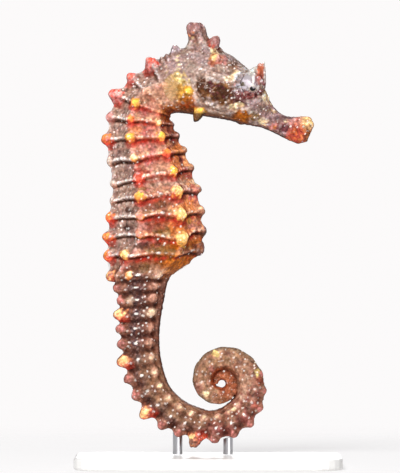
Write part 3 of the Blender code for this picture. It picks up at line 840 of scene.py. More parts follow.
def head_spines():
    """The single spines, each with its twin, described as the rings' knobs are."""
    spines = []
    for base, tip, radius, tip_share, kind in HEAD_SPINES:
        for side, _ in SIDES:
            start = np.array(base) * (1, side, 1)
            way = np.array(tip) * (1, side, 1) - start
            length = np.linalg.norm(way)
            spines.append({
                "base": start, "axis": way / length, "height": length, "radius": radius,
                "tip_share": tip_share, "kind": kind, "tailward": np.array([0.0, 0.0, -1.0]),
            })
    return spines


# ---------------------------------------------------------------- the skin's surface

def mouth_rings(points):
    """Rounded lips and the small hollow inside them, ahead of the first section."""
    first = points[0]
    centre = first.mean(0)
    forward = centre - points[4].mean(0)
    forward /= np.linalg.norm(forward)
    lips = ((-1.3, 0.25), (-1.0, 0.36), (-0.3, 0.45), (0.15, 0.55), (0.38, 0.72), (0.3, 0.9))
    return np.array([centre + (first - centre) * size + forward * ahead for ahead, size in lips])


def body_mesh():
    """The body's closed surface with its relief, and the grid that describes it."""
    places, index, points = base_grid()
    normals = grid_normals(points)
    knobs = body_knobs(places, index, points, normals)
    height = add_knobs(relief(places, index, points), knobs, places, points)
    height = height + head_relief(points)
    points = points + normals * height[:, :, None]
    rings = np.concatenate([mouth_rings(points), points])
    tip = points[-1].mean(0)
    onward = tip - points[-4].mean(0)
    for size in (0.8, 0.45):
        closing = tip + (points[-1] - tip) * size + onward * (1 - size)
        rings = np.concatenate([rings, closing[None]])
    return places, index, points, knobs, tube_mesh(rings)


def join_meshes(parts):
    """One list of vertices and one of faces, from a list of meshes."""
    vertices, faces, offset = [], [], 0
    for part_vertices, part_faces in parts:
        vertices.append(part_vertices)
        faces.extend(tuple(number + offset for number in face) for face in part_faces)
        offset += len(part_vertices)
    return np.concatenate(vertices), faces


def voxel_skin(vertices, faces):
    """One even closed surface round everything."""
    mesh = bpy.data.meshes.new("skin_rough")
    mesh.from_pydata(vertices.tolist(), [], faces)
    rough = add_object("skin_rough", mesh)
    remesh = rough.modifiers.new("voxels", "REMESH")
    remesh.mode = "VOXEL"
    remesh.voxel_size = VOXEL
    smooth = rough.modifiers.new("smooth", "SMOOTH")
    smooth.factor = 0.5
    smooth.iterations = 2
    graph = bpy.context.evaluated_depsgraph_get()
    result = bpy.data.meshes.new_from_object(rough.evaluated_get(graph))
    bpy.data.objects.remove(rough, do_unlink=True)
    return result


def read_vectors(items, key):
    """One vector of each of a mesh's vertices, as the rows of an array."""
    values = np.empty(len(items) * 3, np.float32)
    items.foreach_get(key, values)
    return values.reshape(-1, 3).astype(float)


def cavity(mesh, points, normals, rounds):
    """How far each vertex lies below the smoothed surface, in millimetres."""
    ends = np.empty(len(mesh.edges) * 2, np.int32)
    mesh.edges.foreach_get("vertices", ends)
    first, second = ends.reshape(-1, 2).T
    count = len(points)
    neighbours = np.bincount(first, minlength=count) + np.bincount(second, minlength=count)
    smooth = points.copy()
    for _ in range(rounds):
        total = np.empty_like(smooth)
        for axis in range(3):
            values = smooth[:, axis]
            total[:, axis] = np.bincount(first, values[second], count)
            total[:, axis] += np.bincount(second, values[first], count)
        smooth = total / neighbours[:, None]
    return ((smooth - points) * normals).sum(1)


def nearest(sources, queries):
    """Index of the nearest source point, and the distance to it, for each query point."""
    tree = KDTree(len(sources))
    for number, point in enumerate(sources.tolist()):
        tree.insert(point, number)
    tree.balance()
    found = np.empty(len(queries), int)
    distance = np.empty(len(queries))
    for number, point in enumerate(queries.tolist()):
        _, found[number], distance[number] = tree.find(point)
    return found, distance


class SkinMap:
    """Where each skin vertex is on the body: place, folded corner, ring phase and knob."""

    def __init__(self, points, grid_places, grid_index, grid_points, knobs):
        self.points = points
        number, _ = nearest(grid_points.reshape(-1, 3), points)
        around = len(grid_index)
        self.place = grid_places[number // around]
        self.fold = fold_index(grid_index[number % around])
        self.phase = ring_phase(self.place, self.fold)
        self.ring = np.round(self.place)
        self.measure_knobs(knobs)

    def measure_knobs(self, knobs):
        """The nearest knob's kind, each vertex's cover, level and side on it, and its nearness to the
        knob's red painted shadow.
        """
        samples = [knob["base"] + knob["axis"] * knob["height"] * share
                   for knob in knobs for share in KNOB_SAMPLES]
        found, _ = nearest(np.array(samples), self.points)
        owner = found // len(KNOB_SAMPLES)

        def gathered(key):
            return np.array([knob[key] for knob in knobs])[owner]

        offset = self.points - gathered("base")
        axis, height, radius = gathered("axis"), gathered("height"), gathered("radius")
        along = (offset * axis).sum(1)
        self.knob_kind = gathered("kind")
        wobble = 0.17 * ripple(self.points, 1.0, 23)
        away = np.linalg.norm(offset - along[:, None] * axis, axis=1) / radius + wobble
        on_ring = np.array(["place" in knob for knob in knobs])[owner]
        on_spine = ease(1.25, 0.85, away) * ease(-0.3, 0.15, along / height)
        self.knob_mask = np.where(on_ring, ease(1.0, 0.55, away) * (along > -1.5), on_spine)
        self.knob_level = np.where(on_ring, 1.05 - away, along / height)
        tailward = gathered("tailward")
        self.knob_tailward = (offset * tailward).sum(1) / radius
        # Red painted shadow: a patch centred a little tailward of the knob's base.
        from_shadow_centre = np.linalg.norm(offset - tailward * (0.7 * radius)[:, None], axis=1)
        self.knob_shadow = ease(1.4, 0.6, from_shadow_centre / radius)

    def knobs_of(self, kind):
        """The cover of the knobs of one kind."""
        return self.knob_mask * (self.knob_kind == kind)


def beyond_lid(points):
    """Distance outside the lid's slightly uneven edge, seen from the side; less than 0 inside it."""
    dx, dz = from_spot(points, EYE_CENTRE)
    angle = np.arctan2(dz, dx)
    uneven = 0.10 * np.sin(3 * angle + 0.6) + 0.06 * np.sin(7 * angle)
    return np.hypot(dx, dz) - EYE_OPENING - uneven


def eye_hollow(points):
    """How far the skin is pressed in where the eyeball shows through it."""
    outside = ease(-0.5, 0.5, np.abs(points[:, 1]) - EYE_CENTRE[1])
    return 1.1 * ease(0.15, -0.45, beyond_lid(points)) * outside


def lid_rim(points):
    """A thin raised lid round the eye's opening, with one soft fold outside it."""
    beyond = beyond_lid(points)
    height = 0.2 * hump(beyond, 0.3, 0.24) - 0.07 * hump(beyond, 0.75, 0.15)
    return height * ease(1.5, 2.5, np.abs(points[:, 1]))


# ---------------------------------------------------------------- colours of the skin

def layers(base, *coats):
    """Lay named colours over a base one after another, each through its own mask."""
    colour = PALETTE[base] if isinstance(base, str) else base
    for name, mask in coats:
        colour = colour + (PALETTE[name] - colour) * np.clip(mask, 0, 1)[:, None]
    return colour


def add_marks(points, colour, marks, wobble, strength=1.0):
    """Soft patches with ragged edges, the same on both flanks."""
    for x, z, length, height, name, cover in marks:
        along, up = from_spot(points, (x, z))
        distance = np.hypot(along / length, up / height) + 0.28 * wobble
        colour = layers(colour, (name, strength * cover * ease(1.2, 0.65, distance)))
    return colour


def trunk_colours(skin):
    """Pink and orange flanks, browner low down, with a grey back, red painted shadow below each ring and
    cream ahead of it, partly a painted highlight.
    """
    place, fold, phase = skin.place, skin.fold, skin.phase
    lumps = ripple(skin.points, 3.0, 11)
    fine = ripple(skin.points, 1.3, 14)
    low_side = ease(7.4, 9.0, place) * (1 - hump(fold, 6.6, 0.9)) * ease(4.1, 4.5, fold)
    belly = ease(6.0, 6.7, fold)
    behind_ring = hump(phase, 0.24, 0.16) * ease(1.8, 2.8, place)
    ahead_of_ring = hump(phase, -0.14, 0.12) * ease(-0.4, 0.7, ripple(skin.points, 1.8, 24))
    flare = hump(phase, 0.0, 0.12) * (hump(fold, 4.25, 0.5) + hump(fold, 5.9, 0.5))
    back = ease(4.05, 3.7, fold)
    colour = layers(
        "side_pink",
        ("side_salmon", ease(-0.2, 0.8, lumps) * 0.9),
        ("side_magenta", ease(0.1, 1.0, -lumps) * 0.7),
        ("neck_tan", ease(0.3, 1.2, fine) * 0.7),
        ("side_salmon", ease(4.8, 6.2, fold) * 0.8),
        ("side_brown", low_side * (0.75 + 0.25 * fine)),
        ("side_olive", ease(8.9, 10.2, place) * ease(4.4, 5.2, fold) * patchy(lumps, 0.55, 0.5)),
        ("belly_orange", belly * 0.8),
        ("side_magenta", belly * ease(0.0, 0.8, fine) * 0.7),
        ("knob_pink", belly * ease(0.2, 0.9, -fine) * 0.6),
        ("keel_dark", ease(7.3, 7.9, fold) * patchy(lumps, 0.6, 0.4)),
        ("amber", ease(9.9, 10.8, place) * ease(4.9, 5.8, fold) * 0.9),
        ("red_shadow", behind_ring * np.clip(0.45 + 0.5 * fine, 0, 0.9)),
        # Cream ahead of each ring, partly a painted highlight on the rise to the ridge.
        ("cream", ahead_of_ring * 0.4),
        ("knob_orange", np.clip(flare, 0, 1) * 0.6),
        ("back_grey", back * 0.95),
        ("back_mauve", back * patchy(lumps, 0.35, 0.6) * 0.85),
        ("back_pale", back * ease(0.3, 1.3, fine) * 0.6),
        # Painted shadow in a dark strip on the back's side of the side ridge.
        ("groove", back * hump(fold, 3.6, 0.35) * ease(-0.2, 0.9, fine) * 0.5),
        ("gill_maroon", hump(fold, 7.2, 0.5) * ease(8.2, 6.8, place) * 0.85),
        ("neck_tan", ease(3.4, 2.0, place) * ease(3.4, 4.6, fold) * 0.8),
        ("amber", ease(4.5, 2.6, place) * ease(5.4, 6.6, fold) * 0.85),
        ("throat", ease(5.5, 3.0, place) * ease(6.4, 7.2, fold) * 0.9),
    )
    return add_marks(skin.points, colour, TRUNK_MARKS, fine)


def tail_colours(skin):
    """Maroon with a slate band and pink knobs, then a tan and pink coil with a dark orange inner edge
    and tip, partly painted shade.
    """
    place, fold = skin.place, skin.fold
    lumps = ripple(skin.points, 2.2, 12)
    fine = ripple(skin.points, 1.1, 15)
    grit = ease(0.3, 1.0, ripple(skin.points, 0.8, 25))
    belly = ease(6.5, 7.0, fold)
    on_ring = ease(0.42, 0.22, np.abs(skin.phase))
    inside = coil_inside(place, fold)
    third = (np.mod(skin.ring, 3) == 0) * hump(fold, 6.1, 0.5) * on_ring * (1 - inside)
    bead = ease(1.1, 0.5, np.hypot((fold - 6.0) / 0.26, skin.phase / 0.16) + 0.2 * fine)
    coil = ease(22, 29, place)
    coil_top = ease(28, 33, place)
    colour = layers(
        "tail_maroon",
        ("tail_pink", hump(fold, 4.0, 0.9) * patchy(lumps, 0.6, 0.5) * 0.8),
        ("tail_slate", hump(fold, 5.0, 0.55) * patchy(fine, 0.85, 0.4)),
        ("back_mauve", hump(fold, 5.0, 0.5) * grit * 0.7),
        ("tail_belly", belly),
        ("tail_maroon", belly * patchy(lumps, 0.5, 0.5) * 0.6),
        ("tail_pink", hump(fold, 6.05, 0.42) * on_ring * patchy(fine, 0.6, 0.5) * 0.8),
        ("coil_tan", inside * patchy(lumps, 0.7, 0.3) * 0.85),
        ("tail_patch", third * patchy(fine, 0.6, 0.4)),
        ("cream", inside * bead * ease(30, 27, place) * 0.8),
        ("amber", ease(12.8, 11.6, place) * ease(5.9, 6.7, fold) * 0.9),
        ("coil_pink", coil * (0.75 + 0.2 * lumps)),
        ("coil_maroon", coil * ease(32, 27, place) * ease(-0.2, 0.8, fine) * 0.7),
        ("coil_tan", coil_top * patchy(lumps, 0.75, 0.4)),
        ("coil_pink", coil_top * ease(0.2, 1.0, fine) * 0.6),
        # Dark orange on the coil's inner edge and its tip's inner turn, partly painted shade in the
        # coil's hollow.
        ("coil_orange_shade", ease(29, 34, place) * ease(5.6, 6.9, fold) * 0.95),
        ("coil_orange_shade", ease(37.5, 40, place) * 0.75),
        ("outline", ease(27, 30, place) * ease(40, 37, place) * ease(4.6, 4.05, fold) * 0.85),
        ("keel_dark", ease(6.9, 7.5, fold) * ease(30, 27, place) * ease(12.4, 13.4, place) * 0.7),
    )
    return add_marks(skin.points, colour, COIL_MARKS, fine)


def cheek_colours(points, snout, lumps, fine):
    """Mottled grey, a mauve snout and the brown gill cover with its pale rim."""
    along, up = turned(points, (1.9, 74.9), -22)
    cover = np.hypot(along / 4.9, up / 2.7) + 0.16 * lumps + 0.10 * fine
    return layers(
        "head_grey",
        ("lavender", np.clip(lumps * 0.6, 0, 0.6)),
        ("back_mauve", np.clip(fine * 0.7, 0, 0.6)),
        ("snout_mauve", snout * 0.95),
        ("lavender", snout * np.clip(fine, 0, 1) * 0.7),
        ("gill_rim", hump(cover, 1.35, 0.25) * ease(0.8, -0.8, up) * 0.7),
        ("gill_brown", ease(1.2, 0.8, cover)),
        ("gill_dark", ease(1.15, 0.7, cover) * ease(-0.9, 0.2, -lumps)),
        ("gill_maroon", ease(1.0, 0.6, cover) * ease(0.1, 0.8, fine) * 0.8),
    )


def throat_colours(skin, colour, fine):
    """The dark crest, pale threads on the cheek, the neck's edge, and the throat with its pouch."""
    points, place, fold = skin.points, skin.place, skin.fold
    x, z = points[:, 0], points[:, 2]
    crest = ease(1.5, 0.5, fold) * ease(1.5, 3.5, x) * ease(12.0, 10.0, x)
    threads = ease(0.22, 0.06, np.abs(ripple(points, 1.7, 27))) * ease(-4.0, -1.0, x)
    threads = threads * ease(-0.3, 0.5, ripple(points, 2.8, 28))
    line = hump(x + 6.3 + 0.25 * np.sin(z * 2.1), 0.0, 0.35) * ease(75.5, 76.5, z) * ease(84, 83, z)
    line = line * (0.5 + 0.5 * np.cos(z * 6.5)) * ease(2.0, 3.0, np.abs(points[:, 1]))
    throat = ease(6.7, 7.3, fold) * ease(-5.6, -5.0, place) * ease(0.3, -0.5, place)
    jaw = ease(5.9, 6.8, fold + 0.3 * fine) * ease(-4.4, -3.0, place)
    pouch = ease(2.3, 1.4, np.hypot(x - 7.0, (z - 69.1) * 1.1) + 0.4 * fine)
    return layers(
        colour,
        ("snout_dark", crest * patchy(fine, 0.7, 0.3) * 0.7),
        ("gill_rim", threads * 0.4),
        ("cream", line),
        ("throat", throat * 0.85),
        ("gill_brown", jaw * 0.75),
        ("gular", pouch),
        ("gill_dark", pouch * ease(0.8, 1.9, np.hypot(x - 7.2, z - 69.6)) * 0.5),
    )


def snout_colours(skin, colour, snout, lumps, fine):
    """The snout's dark edges, and its pink and red tip with a yellow upper lip."""
    x, z = skin.points[:, 0], skin.points[:, 2]
    edge = ease(5.6, 6.6, skin.fold) * ease(-4.2, -5.2, skin.place)
    tip = ease(16.6, 18.0, x - 0.5 * (z - 67) + 0.4 * fine)
    return layers(
        colour,
        ("gill_dark", ease(6.6, 7.4, skin.fold) * snout * 0.85),
        ("snout_dark", snout * ease(1.8, 0.8, skin.fold) * 0.6),
        ("gill_dark", edge * patchy(fine, 0.6, 0.4) * 0.8),
        ("tip_pink", tip * 0.9),
        ("spine_brown", tip * ease(0.1, 0.9, ripple(skin.points, 1.0, 29)) * 0.6),
        ("tip_red", tip * ease(67.6, 65.8, z + 0.6 * fine + 0.5 * lumps) * 0.95),
        ("knob_orange", tip * ease(0.0, 0.9, -fine) * 0.35),
        ("tip_yellow", ease(18.8, 20.4, x) * ease(66.4, 67.8, z + 0.6 * fine) * 0.85),
        ("gill_brown", ease(19.6, 20.8, x) * ease(68.0, 66.4, z + 0.5 * fine) * 0.75),
    )


def eye_pattern(points, colour, fine, strength):
    """Silver above the pupil and maroon below it, crossed by ragged pale streaks."""
    dx, dz = from_spot(points, PUPIL_CENTRE)
    away = np.hypot(dx, dz)
    angle = np.arctan2(dz, dx)
    upper = ease(-0.9, 0.7, dz - 0.15 * dx + 0.35 * fine) * ease(1.5, 0.5, dx + 0.3 * fine)
    waver = np.sin(7 * angle + 3.2 * fine) + np.sin(11 * angle + 1.3 + 1.8 * away)
    waver = waver + 0.8 * np.sin(17 * angle + 2.4 * fine)
    streaks = ease(0.1, 1.3, waver) * ease(0.35, 0.9, away) * (1 - 0.6 * upper)
    colour = layers(
        colour,
        ("eye_maroon", strength * (1 - upper)),
        ("silver", strength * upper),
        ("white", strength * streaks * 0.5),
        ("eye_dark", strength * ease(0.4, 1.5, -waver) * (0.85 - 0.3 * upper)),
    )
    return add_marks(points, colour, EYE_MARKS, fine, strength)


def head_colours(skin):
    """Cheeks, throat and snout, with the eye's pattern carried out over the skin round it."""
    points = skin.points
    lumps = ripple(points, 2.6, 13)
    fine = ripple(points, 1.2, 16)
    snout = ease(-4.0, -4.8, skin.place)
    colour = cheek_colours(points, snout, lumps, fine)
    colour = add_marks(points, colour, HEAD_MARKS, fine)
    colour = throat_colours(skin, colour, fine)
    colour = snout_colours(skin, colour, snout, lumps, fine)
    from_eye = np.hypot(*from_spot(points, EYE_CENTRE)) + 0.5 * fine
    side = ease(1.0, 2.0, np.abs(points[:, 1]))
    return eye_pattern(points, colour, fine, ease(3.6, 2.6, from_eye) * side)


def skin_colours(skin):
    """The colours of head, trunk and tail, faded into each other along the body."""
    colour = head_colours(skin)
    for start, end, part_colours in ((0.2, 1.1, trunk_colours), (11.2, 12.2, tail_colours)):
        colour = colour + (part_colours(skin) - colour) * ease(start, end, skin.place)[:, None]
    return colour


def paint_rings(skin, colour):
    """Painted shade in the grooves behind the ridges and between tail rings, a painted highlight and
    pale beads along the ridges, and red painted shadow under the knobs.
    """
    place, fold, phase = skin.place, skin.fold, skin.phase
    on_rings = ease(0.7, 1.3, place)
    trunk = on_rings * ease(12.3, 11.3, place)
    fine = ripple(skin.points, 1.6, 18)
    front = ease(4.2, 1.8, place) * ease(2.7, 3.9, fold)
    back = ease(4.8, 4.0, fold)
    red = hump(phase, 0.2, 0.17) * (hump(fold, 4.8, 0.9) + hump(fold, 6.2, 0.6)) * trunk
    # Painted shade in the groove behind each trunk ring, and in the gaps between tail rings.
    groove = hump(phase, 0.15, 0.07) * trunk * (0.9 - 0.75 * hump(fold, 5.3, 0.9)) * (1 - front)
    tail_gap_shade = hump(np.abs(phase), 0.5, 0.17) * (on_rings - trunk) * ease(7.1, 6.5, fold)
    tail_gap_shade = tail_gap_shade * (1 - 0.65 * coil_inside(place, fold)) * (1 - 0.85 * ease(25, 31, place))
    # A painted highlight along each trunk ring's crest, with white beads on it.
    crest = hump(phase, -0.03, 0.05) * trunk * (1 - 0.8 * front)
    pale = bead_wave(fold) * ease(-0.6, 0.6, fine)
    colour = layers(
        colour,
        ("red_shadow", red * ease(1.8, 2.8, place) * patchy(fine, 0.6, 0.5)),
        ("groove", groove),
        ("groove", tail_gap_shade * 0.7),
        ("gill_rim", crest * (0.12 + 0.48 * back)),
        ("white", crest * pale * (0.2 + 0.65 * back)),
    )
    shade = 1 + 0.22 * ripple(skin.points, 0.7, 19) * ease(1.6, 0.6, np.abs(skin.knob_mask))
    return colour * np.clip(shade, 0.5, 1.5)[:, None]


def knob_colours(skin, colour):
    """Painted light and shade on the knobs: bright tops and headward sides that turn orange and red down
    their tailward sides, by kind of knob.
    """
    x, z = skin.points[:, 0], skin.points[:, 2]
    fine = ripple(skin.points, 0.9, 17)
    # Red painted shadow below the knobs of these kinds, weaker towards the head.
    casts_shadow = np.isin(skin.knob_kind, SHADOW_CASTING_KNOBS) * (0.15 + 0.85 * ease(0.2, 1.0, skin.place))
    near = skin.knob_shadow * casts_shadow * ease(1.3, 0.4, skin.knob_level)
    colour = layers(colour, ("red_shadow", near * 0.6))
    # Painted light: tip colours on each knob's top and headward side, over the flank colours.
    lit = ease(0.6, -0.45, skin.knob_tailward + 0.35 * fine) * ease(0.1, 0.55, skin.knob_level)
    lit = np.maximum(lit, ease(0.7, 1.0, skin.knob_level + 0.1 * fine) * 0.6)
    faint = patchy(fine, 0.55, 0.75)
    strength = {"patch": faint * 0.5, "cream": faint}
    for kind, (tip, flank) in KNOB_TINTS.items():
        mask = skin.knobs_of(kind) * strength.get(kind, 1.0)
        colour = layers(colour, (flank, mask * 0.9), (tip, mask * lit * 0.95))
    spine = skin.knobs_of("eye_spine")
    left_edge = ease(0.45, 0.05, x - 9.55 - 0.22 * (z - 77.4) + 0.15 * fine)
    right_edge = ease(-0.1, 0.3, x - 11.45 - 0.08 * (z - 77.4) + 0.15 * fine)
    # A red painted shadow round the tailward side of each knob's base, broken into patches.
    rim = hump(skin.knob_level, 0.25, 0.2) * ease(-0.3, 0.5, skin.knob_tailward)
    broken_shadow = patchy(ripple(skin.points, 0.8, 26), 0.55, 0.5)
    rim = rim * casts_shadow * ease(0.0, 0.4, skin.knob_shadow) * broken_shadow
    return layers(
        colour,
        ("lid_grey", spine * left_edge * 0.9),
        ("spine_pale", spine * right_edge * 0.8),
        ("spine_pale", spine * ease(80.1, 80.7, z + 0.2 * fine) * 0.9),
        ("gill_dark", skin.knobs_of("cheek_spine") * ease(70.6, 69.9, z) * 0.95),
        ("knob_pink", skin.knobs_of("crown_knob") * ease(1.3, 2.1, x - 0.3 * (z - 81.5)) * 0.9),
        ("red_shadow", rim * 0.75),
    )


def dot_mask(skin):
    """White dots of mixed size and strength, densest on the crown and the back."""
    source = np.random.default_rng(SEED)
    head = skin.place < 0.5
    tail = skin.place > 11.5
    trunk = (skin.place > 0.5) & (skin.place < 11.5)
    chance = np.full(len(skin.points), 0.004)
    chance[head] = 0.007
    chance[trunk & (skin.fold < 4)] = 0.006
    chance[(head & (skin.fold > 5.6)) | ((trunk | tail) & (skin.fold > 6.6))] = 0.001
    chosen = np.nonzero(source.random(len(chance)) < chance)[0]
    radius = source.uniform(0.10, 0.24, len(chosen))
    strength = source.uniform(0.35, 1.0, len(chosen))
    found, distance = nearest(skin.points[chosen], skin.points)
    return ease(1.2, 0.6, distance / radius[found]) * strength[found]


def wart_mask(skin):
    """Fine rounded grains all over the skin, 0 to 1."""
    source = np.random.default_rng(SEED + 1)
    chosen = np.nonzero(source.random(len(skin.points)) < 0.028)[0]
    radius = source.uniform(0.22, 0.42, len(chosen))
    found, distance = nearest(skin.points[chosen], skin.points)
    return np.sqrt(np.clip(1 - (distance / radius[found]) ** 2, 0, 1))


def bar_mask(skin):
    """The white bar on each tail ring's side, the dots beside it, and the trunk's side dots."""
    tail = ease(11.6, 12.0, skin.place) * (1 - 0.5 * ease(25, 30, skin.place))
    trunk = ease(6.4, 6.6, skin.place) * ease(11.8, 11.4, skin.place)
    result = np.zeros(len(skin.place))
    for part, dots in ((tail, TAIL_DOTS), (trunk, TRUNK_DOTS)):
        for fold, phase, half_fold, half_phase, strength in dots:
            away = np.hypot((skin.fold - fold) / half_fold, (skin.phase - phase) / half_phase)
            result = np.maximum(result, part * strength * ease(1.0, 0.5, away))
    return result


def edge_shade(skin):
    """How strongly painted shade darkens the skin where it turns edge-on to the side, along the middle
    of the back and of the belly.
    """
    trunk = ease(0.3, 1.2, skin.place) * (1 - ease(11.5, 12.5, skin.place))
    tail = ease(11.5, 12.5, skin.place)
    belly = ease(5.5, 6.5, skin.fold)
    head = 1 - trunk - tail
    return 0.75 * tail + trunk * (0.35 + 0.35 * belly) + head * (0.45 + 0.35 * belly)


def skin_shade(skin, mesh, normals, warts):
    """Painted shade: how far the colours darken in hollows and grooves, between warts and towards the
    outline.
    """
    hollow = 4.5 * cavity(mesh, skin.points, normals, 7) + 1.8 * cavity(mesh, skin.points, normals, 50)
    shade = np.exp(-np.clip(hollow, -0.32, 1.6)) * (0.86 + 0.28 * warts)
    # Painted shade towards the outline, where the skin turns edge-on to the side.
    shade = shade * (1 - edge_shade(skin) * ease(0.52, 0.14, np.abs(normals[:, 1])))
    return np.stack([shade, shade**1.45, shade**1.7], 1)


# ---------------------------------------------------------------- materials

def feed(tree, node, values):
    """Set a node's inputs by name or number, each to a value or to another node's output."""
    for name, value in values.items():
        if isinstance(value, bpy.types.NodeSocket):
            tree.links.new(value, node.inputs[name])
        else:
            node.inputs[name].default_value = value


def new_material(name):
    """A new material, its node tree and its main shader."""
    made = bpy.data.materials.new(name)
    made.use_nodes = True
    return made, made.node_tree, made.node_tree.nodes["Principled BSDF"]


def add_node(tree, kind, output, values=None, **settings):
    """Add a shader node, feed its inputs and return one of its outputs."""
    node = tree.nodes.new("ShaderNode" + kind)
    for key, value in settings.items():
        setattr(node, key, value)
    feed(tree, node, values or {})
    return node.outputs[output]


def add_range(tree, value, start, end, **settings):
    """Map a node's output from one range, start, to another, end."""
    ranges = {"From Min": start[0], "From Max": start[1], "To Min": end[0], "To Max": end[1]}
    return add_node(tree, "MapRange", "Result", {"Value": value, **ranges}, **settings)


def skin_material():
    """The mesh's own colours, finely mottled, with pale grains and small pores."""
    made, tree, shader = new_material("seahorse_skin")
    tint = add_node(tree, "VertexColor", "Color", layer_name="Tint")
    place = add_node(tree, "TexCoord", "Object")
    noise = {"Vector": place, "Scale": 1200.0, "Detail": 4.0, "Roughness": 0.65}
    mottle = add_node(tree, "TexNoise", "Fac", noise)
    grain = add_node(tree, "TexVoronoi", "Distance", {"Vector": place, "Scale": 2300.0})
    mottling = {"Factor": 1.0, "A": tint, "B": add_range(tree, mottle, (0.3, 0.7), (0.42, 1.5))}
    mottled = add_node(tree, "Mix", "Result", mottling, data_type="RGBA", blend_type="MULTIPLY")
    speck = add_range(tree, grain, (0.30, 0.12), (0.0, 0.07))
    specks = {"Factor": speck, "A": mottled, "B": SPECK_COLOUR}
    dents = add_node(tree, "Bump", "Normal", {"Strength": 0.4, "Distance": 0.0001, "Height": mottle})
    pores = {"Strength": 0.5, "Distance": 0.00006, "Height": grain, "Normal": dents}
    feed(tree, shader, SKIN_FINISH)
    feed(tree, shader, {
        "Base Color": add_node(tree, "Mix", "Result", specks, data_type="RGBA"),
        "Normal": add_node(tree, "Bump", "Normal", pores),
        "Roughness": add_range(tree, mottle, (0.0, 1.0), (0.42, 0.7)),
    })
    return made


def tinted_material(name, values):
    """A plain smooth finish over the mesh's own colours, for eyes and fins."""
    made, tree, shader = new_material(name)
    tint = add_node(tree, "VertexColor", "Color", layer_name="Tint")
    feed(tree, shader, {"Base Color": tint, **values})
    return made


def plain_material(name, colour, roughness, metallic):
    """One colour with a fine grain in its gloss and surface, for the stand."""
    made, tree, shader = new_material(name)
    place = add_node(tree, "TexCoord", "Object")
    grain = add_node(tree, "TexNoise", "Fac", {"Vector": place, "Scale": 1500.0, "Detail": 3.0})
    bump = {"Strength": 0.15, "Distance": 0.00005, "Height": grain}
    feed(tree, shader, {
        "Base Color": (*colour, 1.0),
        "Metallic": metallic,
        "Roughness": add_range(tree, grain, (0.0, 1.0), (roughness * 0.8, roughness * 1.2)),
        "Normal": add_node(tree, "Bump", "Normal", bump),
    })
    return made


def floor_material():
    """Matt white that fades away round the stand, so that the floor shows no edge."""
    made, tree, shader = new_material("floor")
    feed(tree, shader, FLOOR_FINISH)
    place = add_node(tree, "TexCoord", "Object")
    distance = add_node(tree, "VectorMath", "Value", {0: place}, operation="LENGTH")
    fade = add_range(tree, distance, FLOOR_FADE, (0.0, 1.0), interpolation_type="SMOOTHSTEP")
    clear = add_node(tree, "BsdfTransparent", "BSDF")
    faded = add_node(tree, "MixShader", "Shader", {0: fade, 1: shader.outputs["BSDF"], 2: clear})
    feed(tree, tree.nodes["Material Output"], {"Surface": faded})
    return made


# ---------------------------------------------------------------- pieces and studio

def add_object(name, data):
    """A new object in the scene."""
    made = bpy.data.objects.new(name, data)
    bpy.context.scene.collection.objects.link(made)
    return made


def store_colour(mesh, colour):
    """Keep a colour for each vertex, which the materials read as Tint."""
    layer = mesh.color_attributes.new("Tint", "FLOAT_COLOR", "POINT")
    values = np.ones((len(colour), 4), np.float32)
    values[:, :3] = np.clip(colour, 0, 1)
    layer.data.foreach_set("color", values.ravel())


def finish_piece(name, mesh, colour, material, nodes):
    """Paint a mesh and put it in the scene in the place of one or more frame nodes."""
    store_colour(mesh, colour)
    mesh.shade_smooth()
    mesh.materials.append(material)
    piece = add_object(name, mesh)
    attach(piece, "root")
    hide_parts(*nodes)


def body_piece(name, vertices, faces, colour, material, node):
    """A piece from vertices in the body's own millimetres."""
    mesh = bpy.data.meshes.new(name)
    mesh.from_pydata(((vertices + (0, 0, BODY_LIFT)) * MM).tolist(), [], faces)
    finish_piece(name, mesh, colour, material, [node])


def fine_relief(skin, white, warts):
    """How far dots, warts and the eyelid rise over the skin, and the hollow at the eye drops."""
    rough = 1 - 0.7 * ease(24, 30, skin.place)
    lift = 0.07 * white + (0.045 * warts + 0.03 * ripple(skin.points, 1.1, 21)) * rough
    return lift - eye_hollow(skin.points) + lid_rim(skin.points)


def build_skin():
    """One skin over all the flesh, coloured by where each vertex lies on the body."""
    places, index, points, knobs, body = body_mesh()
    spines = head_spines()
    parts = [body, coronet_mesh()]
    parts += [blunt_cone(spine) for spine in spines]
    parts += [ball_mesh(ORBIT_CENTRE * (1, side, 1), ORBIT_RADIUS) for side, _ in SIDES]
    parts += [ball_mesh(np.array([x, 0.0, z]), radius) for x, z, radius in MIDLINE_LOBES]
    mesh = voxel_skin(*join_meshes(parts))
    skin = SkinMap(read_vectors(mesh.vertices, "co"), places, index, points, knobs + spines)
    normals = read_vectors(mesh.vertex_normals, "vector")
    white = np.maximum(dot_mask(skin), bar_mask(skin))
    warts = wart_mask(skin)
    colour = knob_colours(skin, paint_rings(skin, skin_colours(skin)))
    colour = layers(colour * skin_shade(skin, mesh, normals, warts), ("white", white * 0.9))
    moved = skin.points + normals * fine_relief(skin, white, warts)[:, None]
    moved[:, 2] += BODY_LIFT
    mesh.vertices.foreach_set("co", (moved * MM).astype(np.float32).ravel())
    mesh.update()
    mesh.materials.clear()
    finish_piece("skin", mesh, colour, skin_material(), FLESH)


